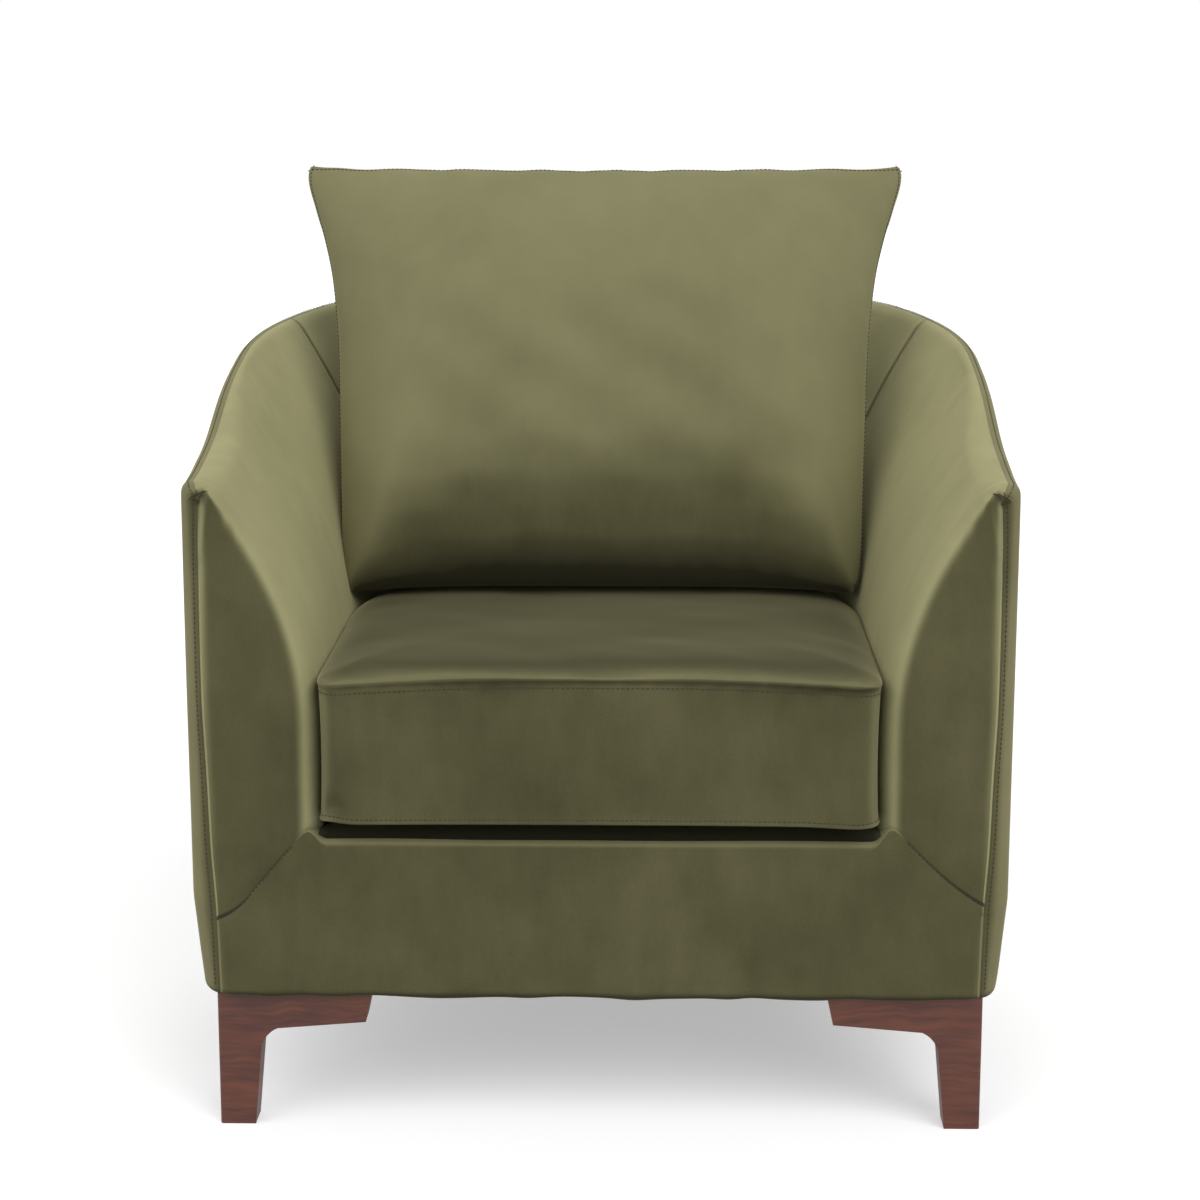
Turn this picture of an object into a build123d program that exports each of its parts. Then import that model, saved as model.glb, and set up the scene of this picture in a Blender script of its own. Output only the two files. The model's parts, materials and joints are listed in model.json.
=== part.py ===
from build123d import *
from math import cos, degrees, radians, sin
import os

# Tub chair. Millimetres, +Z up, the front faces -Y, the origin is on the floor under the middle.

# ---- Body form
HALF_WIDTH = 388.0  # half width of the body, from TURN_RISE above its underside up
BACK_REACH = 388.0  # outermost point of the back, from the origin
FRONT_REACH = 374.0  # front face of the arms and apron, from the origin
LEG_HEIGHT = 132.0  # floor to the underside of the body
HEM_TAPER = 9.0  # the sides draw in this much towards the underside
TURN_RISE = 93.0  # over this height
FRONT_CORNER = 36.0  # rounding of the two front outer corners, in plan
ARM_FRONT_HEIGHT = 622.0  # top of the arm at its front
ARM_MIDDLE_HEIGHT = 670.0
ARM_MIDDLE_REACH = 140.0  # how far in front of the origin that height is reached
SHOULDER_HEIGHT = 727.0
SHOULDER_REACH = 140.0  # how far behind the origin that height is reached
BACK_HEIGHT = 750.0
ARM_FRONT_SETBACK = 28.0  # the arm top starts this far behind the front face
NOSE_DROP = 14.0  # and falls this much to the front face
TOP_STOPS = (0, 0.02, 0.04, 0.09, 0.16, 0.25, 0.34, 0.43, 0.52, 0.62, 0.74, 0.87, 1)  # flats of the top line

# ---- Seat well
ARM_THICKNESS = 123.0  # of each arm, at the seat
BACK_THICKNESS = 199.0  # of the back, at the seat
DECK_HEIGHT = 290.0
FLARE_START = 400.0  # the well has upright sides below this
FRONT_FLARE_HEIGHT = 228.0  # rise over which the arm front flares out by FRONT_FLARE
FRONT_FLARE = 100.0
BACK_FLARE_HEIGHT = 290.0
BACK_FLARE = 108.0
FLARE_STEPS = (0.0, 0.38, 0.72, 1.05, 1.36)  # shares of that rise, flare goes with the square
RIDGE_DEPTH = 38.0  # rounding from the well side into the arm front
RIDGE_WIDTH = 24.0
RIDGE_TURNS = (45, 90)  # angles round it
WELL_FLATS = 18  # flats round the back of the well
FLAT_SHARE = 0.001  # a side counts as flat within this share of the cover's thickness
HEADROOM = 80.0  # room that the helper solids take above the back

# ---- Layers of the upholstery
COVER = 2.0
BOARD = 3.0
WALL_FOAM = 25.0  # on the inside of arms and back, measured level
TOP_FOAM = 38.0
FRONT_FOAM = 20.0
DECK_PAD = 20.0
SEAM_INSET = 12.0  # outer seam, inside the outline of the body
MITRE_RISE = 12.0  # the mitre seams start this far above the deck, at the sides of the well
MITRE_FALL = 88.0  # and reach the outer seams this much lower
INSIDE_BACK_SEAM = 90.0  # behind the origin, where inside arm and inside back covers meet
OUTSIDE_BACK_SEAM = 200.0
APRON_TURN = 44.0  # the apron cover reaches this far back over the deck
BOARD_DROP = 20.0  # outside boards end this far below the top of arms and back
BACK_FOAM_JOINT = 150.0  # glue joints in the back foam, each side of the middle

# ---- Frame
PLY = 18.0
RAIL = 25.0
FRONT_RAIL = 22.0
STUD_WIDTH = 44.0
STUD_DEPTH = 24.0
STUD_INSET = 22.0  # outer face of the studs, inside the outline at its widest
ARM_STUD_SETBACK = 159.0  # middle of the front ones, behind the front face
BACK_STUDS = {"right": 38.0, "middle": 90.0, "left": 142.0}  # angles round the back
TOP_RAIL_JOINT = 90.0
BASE_RING_SIDE = 60.0  # the opening of the base ring lies this far inside the well
BASE_RING_FRONT = 112.0  # and this far behind the front face
BASE_RING_BACK = 21.0
BASE_OPENING_CORNER = 60.0
BLOCK_LEG = 70.0
BLOCK_HEIGHT = 60.0

# ---- Seat webbing
WEBBING = 2.0
WEBBING_WIDTH = 60.0
LONG_STRAP_PITCH = 88.0
LONG_STRAPS = (-2, -1, 0, 1, 2)  # pitches from the middle
CROSS_STRAP_PITCH = 96.0
CROSS_STRAPS = (-2, -1, 0, 1)  # pitches from the centre of the rounded back
TACKED = 16.0  # length of a strap that lies on a rail

# ---- Feet
FOOT_SIDE_SETBACK = 14.0  # front feet, inside the hem
FOOT_FRONT_SETBACK = 8.0
REAR_FOOT_SETBACK = 8.5  # their corners, inside the round hem
REAR_FOOT_ANGLE = 45.0
FOOT_THICKNESS = 32.0
POST_FOOT = 34.0
POST_KNEE = 41.0
KNEE_DROP = 57.0  # heights on a foot, down from its top
POST_TOP = 57.0
POST_TOP_DROP = 35.0
WING_LENGTH = 148.0
WING_DEPTH = 28.0
WING_SLANT = 6.0
FOOT_ROUND = 3.0

# ---- Seat cushion
FIT = 0.3  # soft pieces stay this clear of their neighbours
CUSHION_PROUD = 14.0  # the cushion stands this far in front of the arms
CUSHION_CLEARANCE = 1.2
CUSHION_CORNER = 22.0
BOXING_HEIGHT = 133.0
BOXING_DRAW = 3.0  # the boxing pulls in between its seams
BOXING_FLAT = 66.0  # height of its drawn-in middle
CROWN = ((14.0, 10.0), (46.0, 17.0), (98.0, 21.0))  # in from the top seam, up from it
BELLY = ((36.0, 16.7),)  # in from the bottom seam, down from it
FOAM_INSET = 6.0  # the foam block lies this far inside the seams, under wadding
FOAM_EDGE = 3.0  # and its top and bottom this far beyond them

# ---- Back pillow
PILLOW_LEAN = 24.0
PILLOW_REST = 143.0  # middle of its seam plane, in front of the back of the well
PILLOW_RISE = 241.0  # and above the top seam of the seat cushion
# Corners of its side: distance past the well side, and up the seam plane
PILLOW_SIDE = ((1.0, -240.0), (16.5, 14.0), (25.0, 98.0), (43.0, 170.0), (57.0, 231.0))
TOP_DIP = 5.0
FULLEST = -190.0  # the filling has settled, so the sections shrink towards this low point of the seam plane
# Sections on each side of the seam plane: distance from it, and size against the seam
PILLOW_FRONT = ((12.0, 0.98), (30.0, 0.93), (56.0, 0.81), (73.0, 0.64), (81.0, 0.42))
PILLOW_REAR = ((50.0, 0.86), (110.0, 0.62), (146.0, 0.34))

# ---- Zips
TAPE = 1.0
TAPE_WIDTH = 24.0
CHAIN_WIDTH = 4.0
CHAIN = 0.6
SLIDER_GAP = 0.3
SLIDER_WIDTH = 9.0
SLIDER_LENGTH = 12.0
SLIDER_TOP = 1.5
PULL = 1.0
PULL_WIDTH = 5.0
PULL_LENGTH = 20.0
SEAT_ZIP_ANGLE = 45.0  # half of the arc that the zip of the seat cushion covers
PILLOW_ZIP_INSET = 65.0  # its ends, inside the well
PILLOW_ZIP_SHIFT = 22.0  # in front of the middle of the seam plane
ZIP_GROOVE = 4.2

# ---- Values that follow from those above
SKY = BACK_HEIGHT + HEADROOM  # above everything but the pillow
SIDE_CENTRE = BACK_REACH - HALF_WIDTH  # centre of the round back of the body
HEM_HALF = HALF_WIDTH - HEM_TAPER
TURN_HEIGHT = LEG_HEIGHT + TURN_RISE
WELL_HALF = HALF_WIDTH - ARM_THICKNESS
WELL_CENTRE = BACK_REACH - BACK_THICKNESS - WELL_HALF  # centre of the rounded back of the well
MITRE_TOP = DECK_HEIGHT + MITRE_RISE
DECK_COVER_FRONT = FRONT_REACH - APRON_TURN
CUSHION_FRONT = FRONT_REACH + CUSHION_PROUD
BOXING_BOTTOM = DECK_HEIGHT + BELLY[-1][1] + FIT
BOXING_TOP = BOXING_BOTTOM + BOXING_HEIGHT
PILLOW_CENTRE_Y = WELL_CENTRE + WELL_HALF - PILLOW_REST
PILLOW_CENTRE_Z = BOXING_TOP + PILLOW_RISE
PILLOW_ZIP_HALF = WELL_HALF - PILLOW_ZIP_INSET
PILLOW_ZIP_Y = PILLOW_CENTRE_Y - PILLOW_ZIP_SHIFT
REAR_FOOT_REACH = HEM_HALF - REAR_FOOT_SETBACK
SEAT_FRAME_TOP = DECK_HEIGHT - COVER - DECK_PAD - 2 * WEBBING
FRAME_FRONT = -FRONT_REACH + COVER + FRONT_FOAM
FRAME_SIDE = COVER + BOARD
WELL_BOARD = COVER + WALL_FOAM
WELL_FRAME = WELL_BOARD + BOARD
FRAME_TOP = COVER + TOP_FOAM
FRAME_BOTTOM = LEG_HEIGHT + COVER
BASE_TOP = FRAME_BOTTOM + PLY
RAIL_INNER = WELL_HALF + COVER
RAIL_OUTER = RAIL_INNER + RAIL
FRONT_RAIL_BACK = FRAME_FRONT + FRONT_RAIL
FAR = 3 * HALF_WIDTH


def half_width(z):
    """Half of the body's width at a height: it tapers to the hem and is upright above."""
    return HALF_WIDTH - (HALF_WIDTH - HEM_HALF) * max(TURN_HEIGHT - z, 0) / (TURN_HEIGHT - LEG_HEIGHT)


def body_solid(inset, low=LEG_HEIGHT, high=SKY, front=None):
    """The body with no seat well: sides that taper to the hem and a round back, inset from its outline."""
    face = -FRONT_REACH + inset if front is None else front
    corner = FRONT_CORNER - inset
    levels = [low] + [TURN_HEIGHT] * (low < TURN_HEIGHT < high) + [high]
    side = [(half_width(z) - inset, z) for z in levels]
    with BuildPart() as form:
        with BuildSketch(Plane.XZ.offset(-SIDE_CENTRE)) as half:
            with BuildLine():
                Polyline((0, high), (0, low), *side, close=True)
            make_face()
        revolve(half.sketch, axis=Axis((0, SIDE_CENTRE, 0), (0, 0, 1)), revolution_arc=180)
        for (foot_x, foot_z), (head_x, head_z) in zip(side, side[1:]):
            with BuildSketch(Plane.XY.offset(foot_z)) as plan:
                with BuildLine():
                    Polyline((foot_x - corner, face), (-FRONT_CORNER, face), (-FRONT_CORNER, SIDE_CENTRE),
                             (foot_x, SIDE_CENTRE), (foot_x, face + corner))
                    RadiusArc((foot_x, face + corner), (foot_x - corner, face), corner)
                make_face()
            lean = Vector(head_x - foot_x, 0, head_z - foot_z)
            extrude(plan.sketch, amount=lean.length, dir=lean.normalized())
        mirror(about=Plane.YZ)
    return form.part


def flare(span, reach, outset):
    """Side of the well above the seat, as (half width, height) points."""
    return [(WELL_HALF + outset + reach * step**2, FLARE_START + span * step) for step in FLARE_STEPS]


def flat_sided(rings):
    """A solid through rings of points, with flat faces only: a side that would twist is two triangles."""
    faces = [Face(Wire.make_polygon(ring)) for ring in (rings[0], rings[-1])]
    for near, far in zip(rings, rings[1:]):
        for index in range(len(near)):
            a, b, c, d = near[index - 1], near[index], far[index], far[index - 1]
            bend = (b - a).cross(c - a).normalized().dot(d - a)
            if abs(bend) < COVER * FLAT_SHARE:
                corners = [(a, b, c, d)]
            elif a.X + b.X > 0:
                corners = [(a, b, c), (a, c, d)]
            else:
                corners = [(a, b, d), (b, c, d)]
            faces += [Face(Wire.make_polygon(loop)) for loop in corners]
    with BuildPart() as form:
        add(Solid(Shell(faces)))
    return form.part


def back_ring(radius, z):
    """Corners round the back of the well at one height: its flats touch the circle of that radius."""
    half_turn = 90 / WELL_FLATS
    reach = radius / cos(radians(half_turn))
    turns = [radians(half_turn * (2 * index + 1)) for index in range(WELL_FLATS)]
    corners = [Vector(reach * cos(turn), WELL_CENTRE + reach * sin(turn), z) for turn in turns]
    return [Vector(radius, WELL_CENTRE, z)] + corners + [Vector(-radius, WELL_CENTRE, z)]


def well_ring(y, low, points, widen=0.0):
    """Corners of a section across the well at one depth."""
    side = [(points[0][0] + widen, low)] + [(x + widen, z) for x, z in points]
    side = side + [(side[-1][0], SKY)]
    return [Vector(x, y, z) for x, z in side] + [Vector(-x, y, z) for x, z in reversed(side)]


def well_solid(outset, low):
    """The open space of the seat well, grown by outset: flared arms and a round back."""
    front_points = flare(FRONT_FLARE_HEIGHT, FRONT_FLARE, outset)
    back_points = flare(BACK_FLARE_HEIGHT, BACK_FLARE, outset)
    face = -FRONT_REACH + outset
    ridge = RIDGE_DEPTH - outset
    with BuildPart() as form:
        side = [(back_points[0][0], low)] + back_points + [(back_points[-1][0], SKY)]
        add(flat_sided([back_ring(radius, z) for radius, z in side]))
        rings = [well_ring(WELL_CENTRE, low, back_points), well_ring(face + ridge, low, front_points)]
        if ridge > 0:
            widen = RIDGE_WIDTH * ridge / RIDGE_DEPTH
            for turn in RIDGE_TURNS:
                behind = ridge * (1 - sin(radians(turn)))
                rings.append(well_ring(face + behind, low, front_points, widen * (1 - cos(radians(turn)))))
        rings.append([point - Vector(0, FRONT_REACH, 0) for point in rings[-1]])
        add(flat_sided(rings))
    return form.part


def above_arms(drop):
    """Everything above a surface that runs the given distance under the top of arms and back."""
    with BuildLine():
        curve = Spline(
            (-FRONT_REACH, ARM_FRONT_HEIGHT - NOSE_DROP - drop),
            (-FRONT_REACH + ARM_FRONT_SETBACK, ARM_FRONT_HEIGHT - drop),
            (-ARM_MIDDLE_REACH, ARM_MIDDLE_HEIGHT - drop),
            (SHOULDER_REACH, SHOULDER_HEIGHT - drop),
            (BACK_REACH, BACK_HEIGHT - drop),
        )
    stops = [curve @ stop for stop in TOP_STOPS]
    with BuildPart() as form:
        with BuildSketch(Plane.YZ) as gap:
            with BuildLine():
                start, end = stops[0], stops[-1]
                high = 2 * SKY
                Polyline(*stops, (end.X + COVER, end.Y), (end.X + COVER, high), (start.X - COVER, high),
                         (start.X - COVER, start.Y), close=True)
            make_face()
        extrude(gap.sketch, amount=HALF_WIDTH + COVER, both=True)
    return form.part


def slab(low, high):
    """A level slice of all space between two heights."""
    with BuildPart() as form:
        with BuildSketch(Plane.XY.offset(low)):
            Rectangle(4 * HALF_WIDTH, 4 * HALF_WIDTH)
        extrude(amount=high - low)
    return form.part


def region(x_low, x_high, y_low, y_high, z_low=0.0, z_high=SKY):
    """A box of space between the given limits."""
    with BuildPart() as form:
        with BuildSketch(Plane.XY.offset(z_low)):
            with Locations(((x_low + x_high) / 2, (y_low + y_high) / 2)):
                Rectangle(x_high - x_low, y_high - y_low)
        extrude(amount=z_high - z_low)
    return form.part


def keep(name, solid):
    """Labels a finished piece and writes it."""
    solid.label = name
    export_step(solid, f"parts/{name}.step")


os.makedirs("parts", exist_ok=True)
left_side = region(-FAR, 0, -FAR, FAR)
right_side = region(0, FAR, -FAR, FAR)

# ---- Forms that the layers share
outline = body_solid(0)
body_under_cover = body_solid(COVER)
well = well_solid(0, DECK_HEIGHT)
well_under_cover = well_solid(COVER, DECK_HEIGHT - COVER)
above_cover = above_arms(0)
above_foam = above_arms(COVER)
above_boards = above_arms(BOARD_DROP)
above_frame = above_arms(FRAME_TOP)
above_studs = above_arms(FRAME_TOP + PLY)

with BuildPart() as tub_outside:
    add(outline)
    add(well, mode=Mode.SUBTRACT)
    add(above_cover, mode=Mode.SUBTRACT)

with BuildPart() as tub_inside:
    add(body_under_cover)
    add(well_under_cover, mode=Mode.SUBTRACT)
    add(above_foam, mode=Mode.SUBTRACT)

with BuildPart() as skin:
    add(tub_outside.part)
    add(tub_inside.part, mode=Mode.SUBTRACT)

with BuildPart() as seam_core:
    add(body_solid(SEAM_INSET, front=-2 * FRONT_REACH))

# ---- Outer covers
with BuildPart() as outside_skin:
    add(skin.part)
    add(seam_core.part, mode=Mode.SUBTRACT)

with BuildPart() as outside_back_cover:
    add(outside_skin.part)
    add(region(-FAR, FAR, OUTSIDE_BACK_SEAM, FAR), mode=Mode.INTERSECT)
keep("outside_back_cover", outside_back_cover.part)

for side_name, side in (("left", left_side), ("right", right_side)):
    with BuildPart() as outside_arm_cover:
        add(outside_skin.part)
        add(region(-FAR, FAR, -FAR, OUTSIDE_BACK_SEAM), mode=Mode.INTERSECT)
        add(side, mode=Mode.INTERSECT)
    keep(f"outside_arm_cover_{side_name}", outside_arm_cover.part)

# ---- Inner covers, apron and deck
with BuildPart() as apron_zone:
    with BuildSketch(Plane.XZ.offset(DECK_COVER_FRONT)):
        with BuildLine():
            rim = WELL_HALF
            seam = HALF_WIDTH
            mitre_run = half_width(MITRE_TOP - MITRE_FALL) - SEAM_INSET - rim
            low_z = MITRE_TOP - MITRE_FALL * (seam - rim) / mitre_run
            Polyline((rim, SKY / 2), (rim, MITRE_TOP), (seam, low_z), (seam, 0), (-seam, 0), (-seam, low_z),
                     (-rim, MITRE_TOP), (-rim, SKY / 2), close=True)
        make_face()
    extrude(amount=FRONT_REACH)

with BuildPart() as inside_skin:
    add(skin.part)
    add(seam_core.part, mode=Mode.INTERSECT)

with BuildPart() as apron_cover:
    add(inside_skin.part)
    add(apron_zone.part, mode=Mode.INTERSECT)
keep("apron_cover", apron_cover.part)

with BuildPart() as deck_cover:
    add(inside_skin.part)
    add(well_solid(0, DECK_HEIGHT - COVER), mode=Mode.INTERSECT)
    add(region(-FAR, FAR, -DECK_COVER_FRONT, FAR, 0, DECK_HEIGHT), mode=Mode.INTERSECT)
keep("deck_cover", deck_cover.part)

with BuildPart() as inside_wall_cover:
    add(inside_skin.part)
    add(apron_zone.part, mode=Mode.SUBTRACT)
    add(deck_cover.part, mode=Mode.SUBTRACT)

with BuildPart() as inside_back_cover:
    add(inside_wall_cover.part)
    add(region(-FAR, FAR, INSIDE_BACK_SEAM, FAR), mode=Mode.INTERSECT)
keep("inside_back_cover", inside_back_cover.part)

for side_name, side in (("left", left_side), ("right", right_side)):
    with BuildPart() as inside_arm_cover:
        add(inside_wall_cover.part)
        add(region(-FAR, FAR, -FAR, INSIDE_BACK_SEAM), mode=Mode.INTERSECT)
        add(side, mode=Mode.INTERSECT)
    keep(f"inside_arm_cover_{side_name}", inside_arm_cover.part)

# ---- Underside and frame
with BuildPart() as dust_cover:
    add(body_solid(COVER, LEG_HEIGHT, FRAME_BOTTOM))
keep("dust_cover", dust_cover.part)

with BuildPart() as base_ring:
    add(body_solid(FRAME_SIDE, FRAME_BOTTOM, BASE_TOP, FRAME_FRONT))
    with BuildSketch(Plane.XY.offset(FRAME_BOTTOM)):
        near = -FRONT_REACH + BASE_RING_FRONT
        far = WELL_CENTRE + WELL_HALF - BASE_RING_BACK
        with Locations((0, (near + far) / 2)):
            RectangleRounded(2 * (WELL_HALF - BASE_RING_SIDE), far - near, BASE_OPENING_CORNER)
    extrude(amount=PLY, mode=Mode.SUBTRACT)
keep("base_ring", base_ring.part)

with BuildPart() as front_rail:
    add(region(-RAIL_OUTER, RAIL_OUTER, FRAME_FRONT, FRONT_RAIL_BACK, BASE_TOP, SEAT_FRAME_TOP))
keep("front_rail", front_rail.part)

with BuildPart() as back_rail:
    with BuildSketch(Plane.XY.offset(BASE_TOP)):
        with Locations((0, WELL_CENTRE)):
            Circle(RAIL_OUTER)
            Circle(RAIL_INNER, mode=Mode.SUBTRACT)
            Rectangle(2 * RAIL_OUTER, RAIL_OUTER, align=(Align.CENTER, Align.MAX), mode=Mode.SUBTRACT)
    extrude(amount=SEAT_FRAME_TOP - BASE_TOP)
keep("back_rail", back_rail.part)

# Solid space of the frame above the base, with and without the boards that line the well
frame_bulk = body_solid(FRAME_SIDE, FRAME_BOTTOM, front=FRAME_FRONT)
with BuildPart() as behind_foam:
    add(frame_bulk)
    add(well_solid(WELL_BOARD, SEAT_FRAME_TOP + 2 * WEBBING), mode=Mode.SUBTRACT)
    add(above_frame, mode=Mode.SUBTRACT)

with BuildPart() as frame_room:
    add(frame_bulk)
    add(well_solid(WELL_FRAME, BASE_TOP), mode=Mode.SUBTRACT)
    add(above_frame, mode=Mode.SUBTRACT)

with BuildPart() as top_band:
    add(frame_room.part)
    add(above_studs, mode=Mode.INTERSECT)

with BuildPart() as stud_room:
    add(frame_room.part)
    add(above_studs, mode=Mode.SUBTRACT)

board_back = FRAME_FRONT + PLY
with BuildPart() as back_top_rail:
    add(top_band.part)
    add(region(-FAR, FAR, TOP_RAIL_JOINT, FAR), mode=Mode.INTERSECT)
keep("back_top_rail", back_top_rail.part)

for side_name, side, sign in (("left", left_side, -1), ("right", right_side, 1)):
    with BuildPart() as side_rail:
        rail_limits = sorted((sign * RAIL_INNER, sign * RAIL_OUTER))
        add(region(*rail_limits, FRONT_RAIL_BACK, WELL_CENTRE, BASE_TOP, SEAT_FRAME_TOP))
    keep(f"side_rail_{side_name}", side_rail.part)

    with BuildPart() as corner_block:
        with BuildSketch(Plane.XY.offset(BASE_TOP)):
            with BuildLine():
                x, y = sign * RAIL_INNER, FRONT_RAIL_BACK
                Polyline((x, y), (x - sign * BLOCK_LEG, y), (x, y + BLOCK_LEG), close=True)
            make_face()
        extrude(amount=BLOCK_HEIGHT)
    keep(f"corner_block_{side_name}", corner_block.part)

    with BuildPart() as arm_front_board:
        add(behind_foam.part)
        board_limits = sorted((sign * RAIL_OUTER, sign * FAR))
        add(region(*board_limits, FRAME_FRONT, board_back, BASE_TOP, SKY), mode=Mode.INTERSECT)
    keep(f"arm_front_board_{side_name}", arm_front_board.part)

    with BuildPart() as arm_top_rail:
        add(top_band.part)
        add(region(-FAR, FAR, board_back, TOP_RAIL_JOINT), mode=Mode.INTERSECT)
        add(side, mode=Mode.INTERSECT)
    keep(f"arm_top_rail_{side_name}", arm_top_rail.part)

    for stud_name, stud_y in (("front", -FRONT_REACH + ARM_STUD_SETBACK), ("rear", WELL_CENTRE)):
        with BuildPart() as arm_stud:
            add(stud_room.part)
            outer = sign * (HALF_WIDTH - STUD_INSET)
            stud_limits = sorted((outer, outer - sign * STUD_DEPTH))
            add(region(*stud_limits, stud_y - STUD_WIDTH / 2, stud_y + STUD_WIDTH / 2, BASE_TOP),
                mode=Mode.INTERSECT)
        keep(f"arm_stud_{stud_name}_{side_name}", arm_stud.part)

    with BuildPart() as inside_arm_board:
        add(behind_foam.part)
        add(frame_room.part, mode=Mode.SUBTRACT)
        add(region(-FAR, FAR, board_back, WELL_CENTRE, SEAT_FRAME_TOP + 2 * WEBBING), mode=Mode.INTERSECT)
        add(side, mode=Mode.INTERSECT)
    keep(f"inside_arm_board_{side_name}", inside_arm_board.part)

for stud_name, angle in BACK_STUDS.items():
    with BuildPart() as back_stud:
        with BuildSketch(Plane.XY.offset(BASE_TOP)):
            with Locations((0, SIDE_CENTRE)):
                with PolarLocations(HALF_WIDTH - STUD_INSET - STUD_DEPTH / 2, 1, start_angle=angle):
                    Rectangle(STUD_DEPTH, STUD_WIDTH)
        extrude(amount=SKY)
        add(stud_room.part, mode=Mode.INTERSECT)
    keep(f"back_stud_{stud_name}", back_stud.part)

# ---- Outside boards
with BuildPart() as outside_board:
    add(body_solid(COVER, FRAME_BOTTOM))
    add(body_solid(FRAME_SIDE, FRAME_BOTTOM), mode=Mode.SUBTRACT)
    add(above_boards, mode=Mode.SUBTRACT)
    board_front = FRAME_FRONT + FRONT_CORNER - FRAME_SIDE
    add(region(-FAR, FAR, board_front, FAR), mode=Mode.INTERSECT)

with BuildPart() as outside_board_back:
    add(outside_board.part)
    add(region(-FAR, FAR, SIDE_CENTRE, FAR), mode=Mode.INTERSECT)
keep("outside_board_back", outside_board_back.part)

for side_name, side in (("left", left_side), ("right", right_side)):
    with BuildPart() as outside_board_side:
        add(outside_board.part)
        add(region(-FAR, FAR, -FAR, SIDE_CENTRE), mode=Mode.INTERSECT)
        add(side, mode=Mode.INTERSECT)
    keep(f"outside_board_{side_name}", outside_board_side.part)

# ---- Foam
with BuildPart() as foam:
    add(tub_inside.part)
    add(slab(FRAME_BOTTOM, SKY), mode=Mode.INTERSECT)
    add(behind_foam.part, mode=Mode.SUBTRACT)
    add(outside_board.part, mode=Mode.SUBTRACT)
    with BuildPart(mode=Mode.PRIVATE) as deck_space:
        add(well_solid(COVER, SEAT_FRAME_TOP))
        add(region(-FAR, FAR, FRONT_RAIL_BACK, FAR), mode=Mode.INTERSECT)
    add(deck_space.part, mode=Mode.SUBTRACT)

apron_space = region(-RAIL_OUTER, RAIL_OUTER, -FAR, FRONT_RAIL_BACK, 0, DECK_HEIGHT - COVER)
with BuildPart() as apron_foam:
    add(foam.part)
    add(apron_space, mode=Mode.INTERSECT)
keep("apron_foam", apron_foam.part)

for block, low_x, high_x in (
    ("left", -FAR, -BACK_FOAM_JOINT),
    ("middle", -BACK_FOAM_JOINT, BACK_FOAM_JOINT),
    ("right", BACK_FOAM_JOINT, FAR),
):
    with BuildPart() as back_foam:
        add(foam.part)
        add(region(low_x, high_x, WELL_CENTRE, FAR), mode=Mode.INTERSECT)
    keep(f"back_foam_{block}", back_foam.part)

for side_name, side in (("left", left_side), ("right", right_side)):
    with BuildPart() as arm_foam:
        add(foam.part)
        add(region(-FAR, FAR, -FAR, WELL_CENTRE), mode=Mode.INTERSECT)
        add(apron_space, mode=Mode.SUBTRACT)
        add(side, mode=Mode.INTERSECT)
    keep(f"arm_foam_{side_name}", arm_foam.part)

with BuildPart() as deck_pad:
    add(well_solid(COVER, SEAT_FRAME_TOP))
    add(region(-FAR, FAR, FRONT_RAIL_BACK, FAR, SEAT_FRAME_TOP + 2 * WEBBING, DECK_HEIGHT - COVER),
        mode=Mode.INTERSECT)
keep("deck_pad", deck_pad.part)

# ---- Seat webbing
with BuildPart() as inside_rails:
    with BuildSketch(Plane.XY.offset(SEAT_FRAME_TOP)):
        with Locations((0, WELL_CENTRE)):
            Circle(RAIL_INNER + TACKED)
        with Locations((0, FRONT_RAIL_BACK - TACKED)):
            straight = WELL_CENTRE - FRONT_RAIL_BACK + TACKED
            Rectangle(2 * (RAIL_INNER + TACKED), straight, align=(Align.CENTER, Align.MIN))
            Rectangle(2 * FAR, FAR, align=(Align.CENTER, Align.MAX), mode=Mode.SUBTRACT)
    extrude(amount=2 * WEBBING)

with BuildPart() as seat_webbing_long:
    for step in LONG_STRAPS:
        strap_x = step * LONG_STRAP_PITCH
        sides = (strap_x - WEBBING_WIDTH / 2, strap_x + WEBBING_WIDTH / 2)
        add(region(*sides, -FAR, FAR, SEAT_FRAME_TOP, SEAT_FRAME_TOP + WEBBING))
    add(inside_rails.part, mode=Mode.INTERSECT)
keep("seat_webbing_long", seat_webbing_long.part)

with BuildPart() as seat_webbing_cross:
    for step in CROSS_STRAPS:
        strap_y = WELL_CENTRE + step * CROSS_STRAP_PITCH
        sides = (strap_y - WEBBING_WIDTH / 2, strap_y + WEBBING_WIDTH / 2)
        add(region(-FAR, FAR, *sides, SEAT_FRAME_TOP + WEBBING, SEAT_FRAME_TOP + 2 * WEBBING))
    add(inside_rails.part, mode=Mode.INTERSECT)
keep("seat_webbing_cross", seat_webbing_cross.part)

# ---- Feet: a turned-in post with a wing along each side of the corner
with BuildPart() as foot:
    with BuildSketch(Plane.XZ) as side_view:
        with BuildLine():
            knee = (POST_KNEE, LEG_HEIGHT - KNEE_DROP)
            post_top = (POST_TOP, LEG_HEIGHT - POST_TOP_DROP)
            Polyline(knee, (POST_FOOT, 0), (0, 0), (0, LEG_HEIGHT), (WING_LENGTH, LEG_HEIGHT),
                     (WING_LENGTH - WING_SLANT, LEG_HEIGHT - WING_DEPTH), post_top)
            TangentArc(knee, post_top, tangent=(knee[0] - POST_FOOT, knee[1]))
        make_face()
    extrude(side_view.sketch, amount=-FOOT_THICKNESS)
    mirror(about=Plane((0, 0, 0), x_dir=(1, 1, 0), z_dir=(1, -1, 0)))
    fillet(foot.edges().filter_by(Axis.Z).sort_by(SortBy.DISTANCE)[0], radius=FOOT_ROUND)

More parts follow.
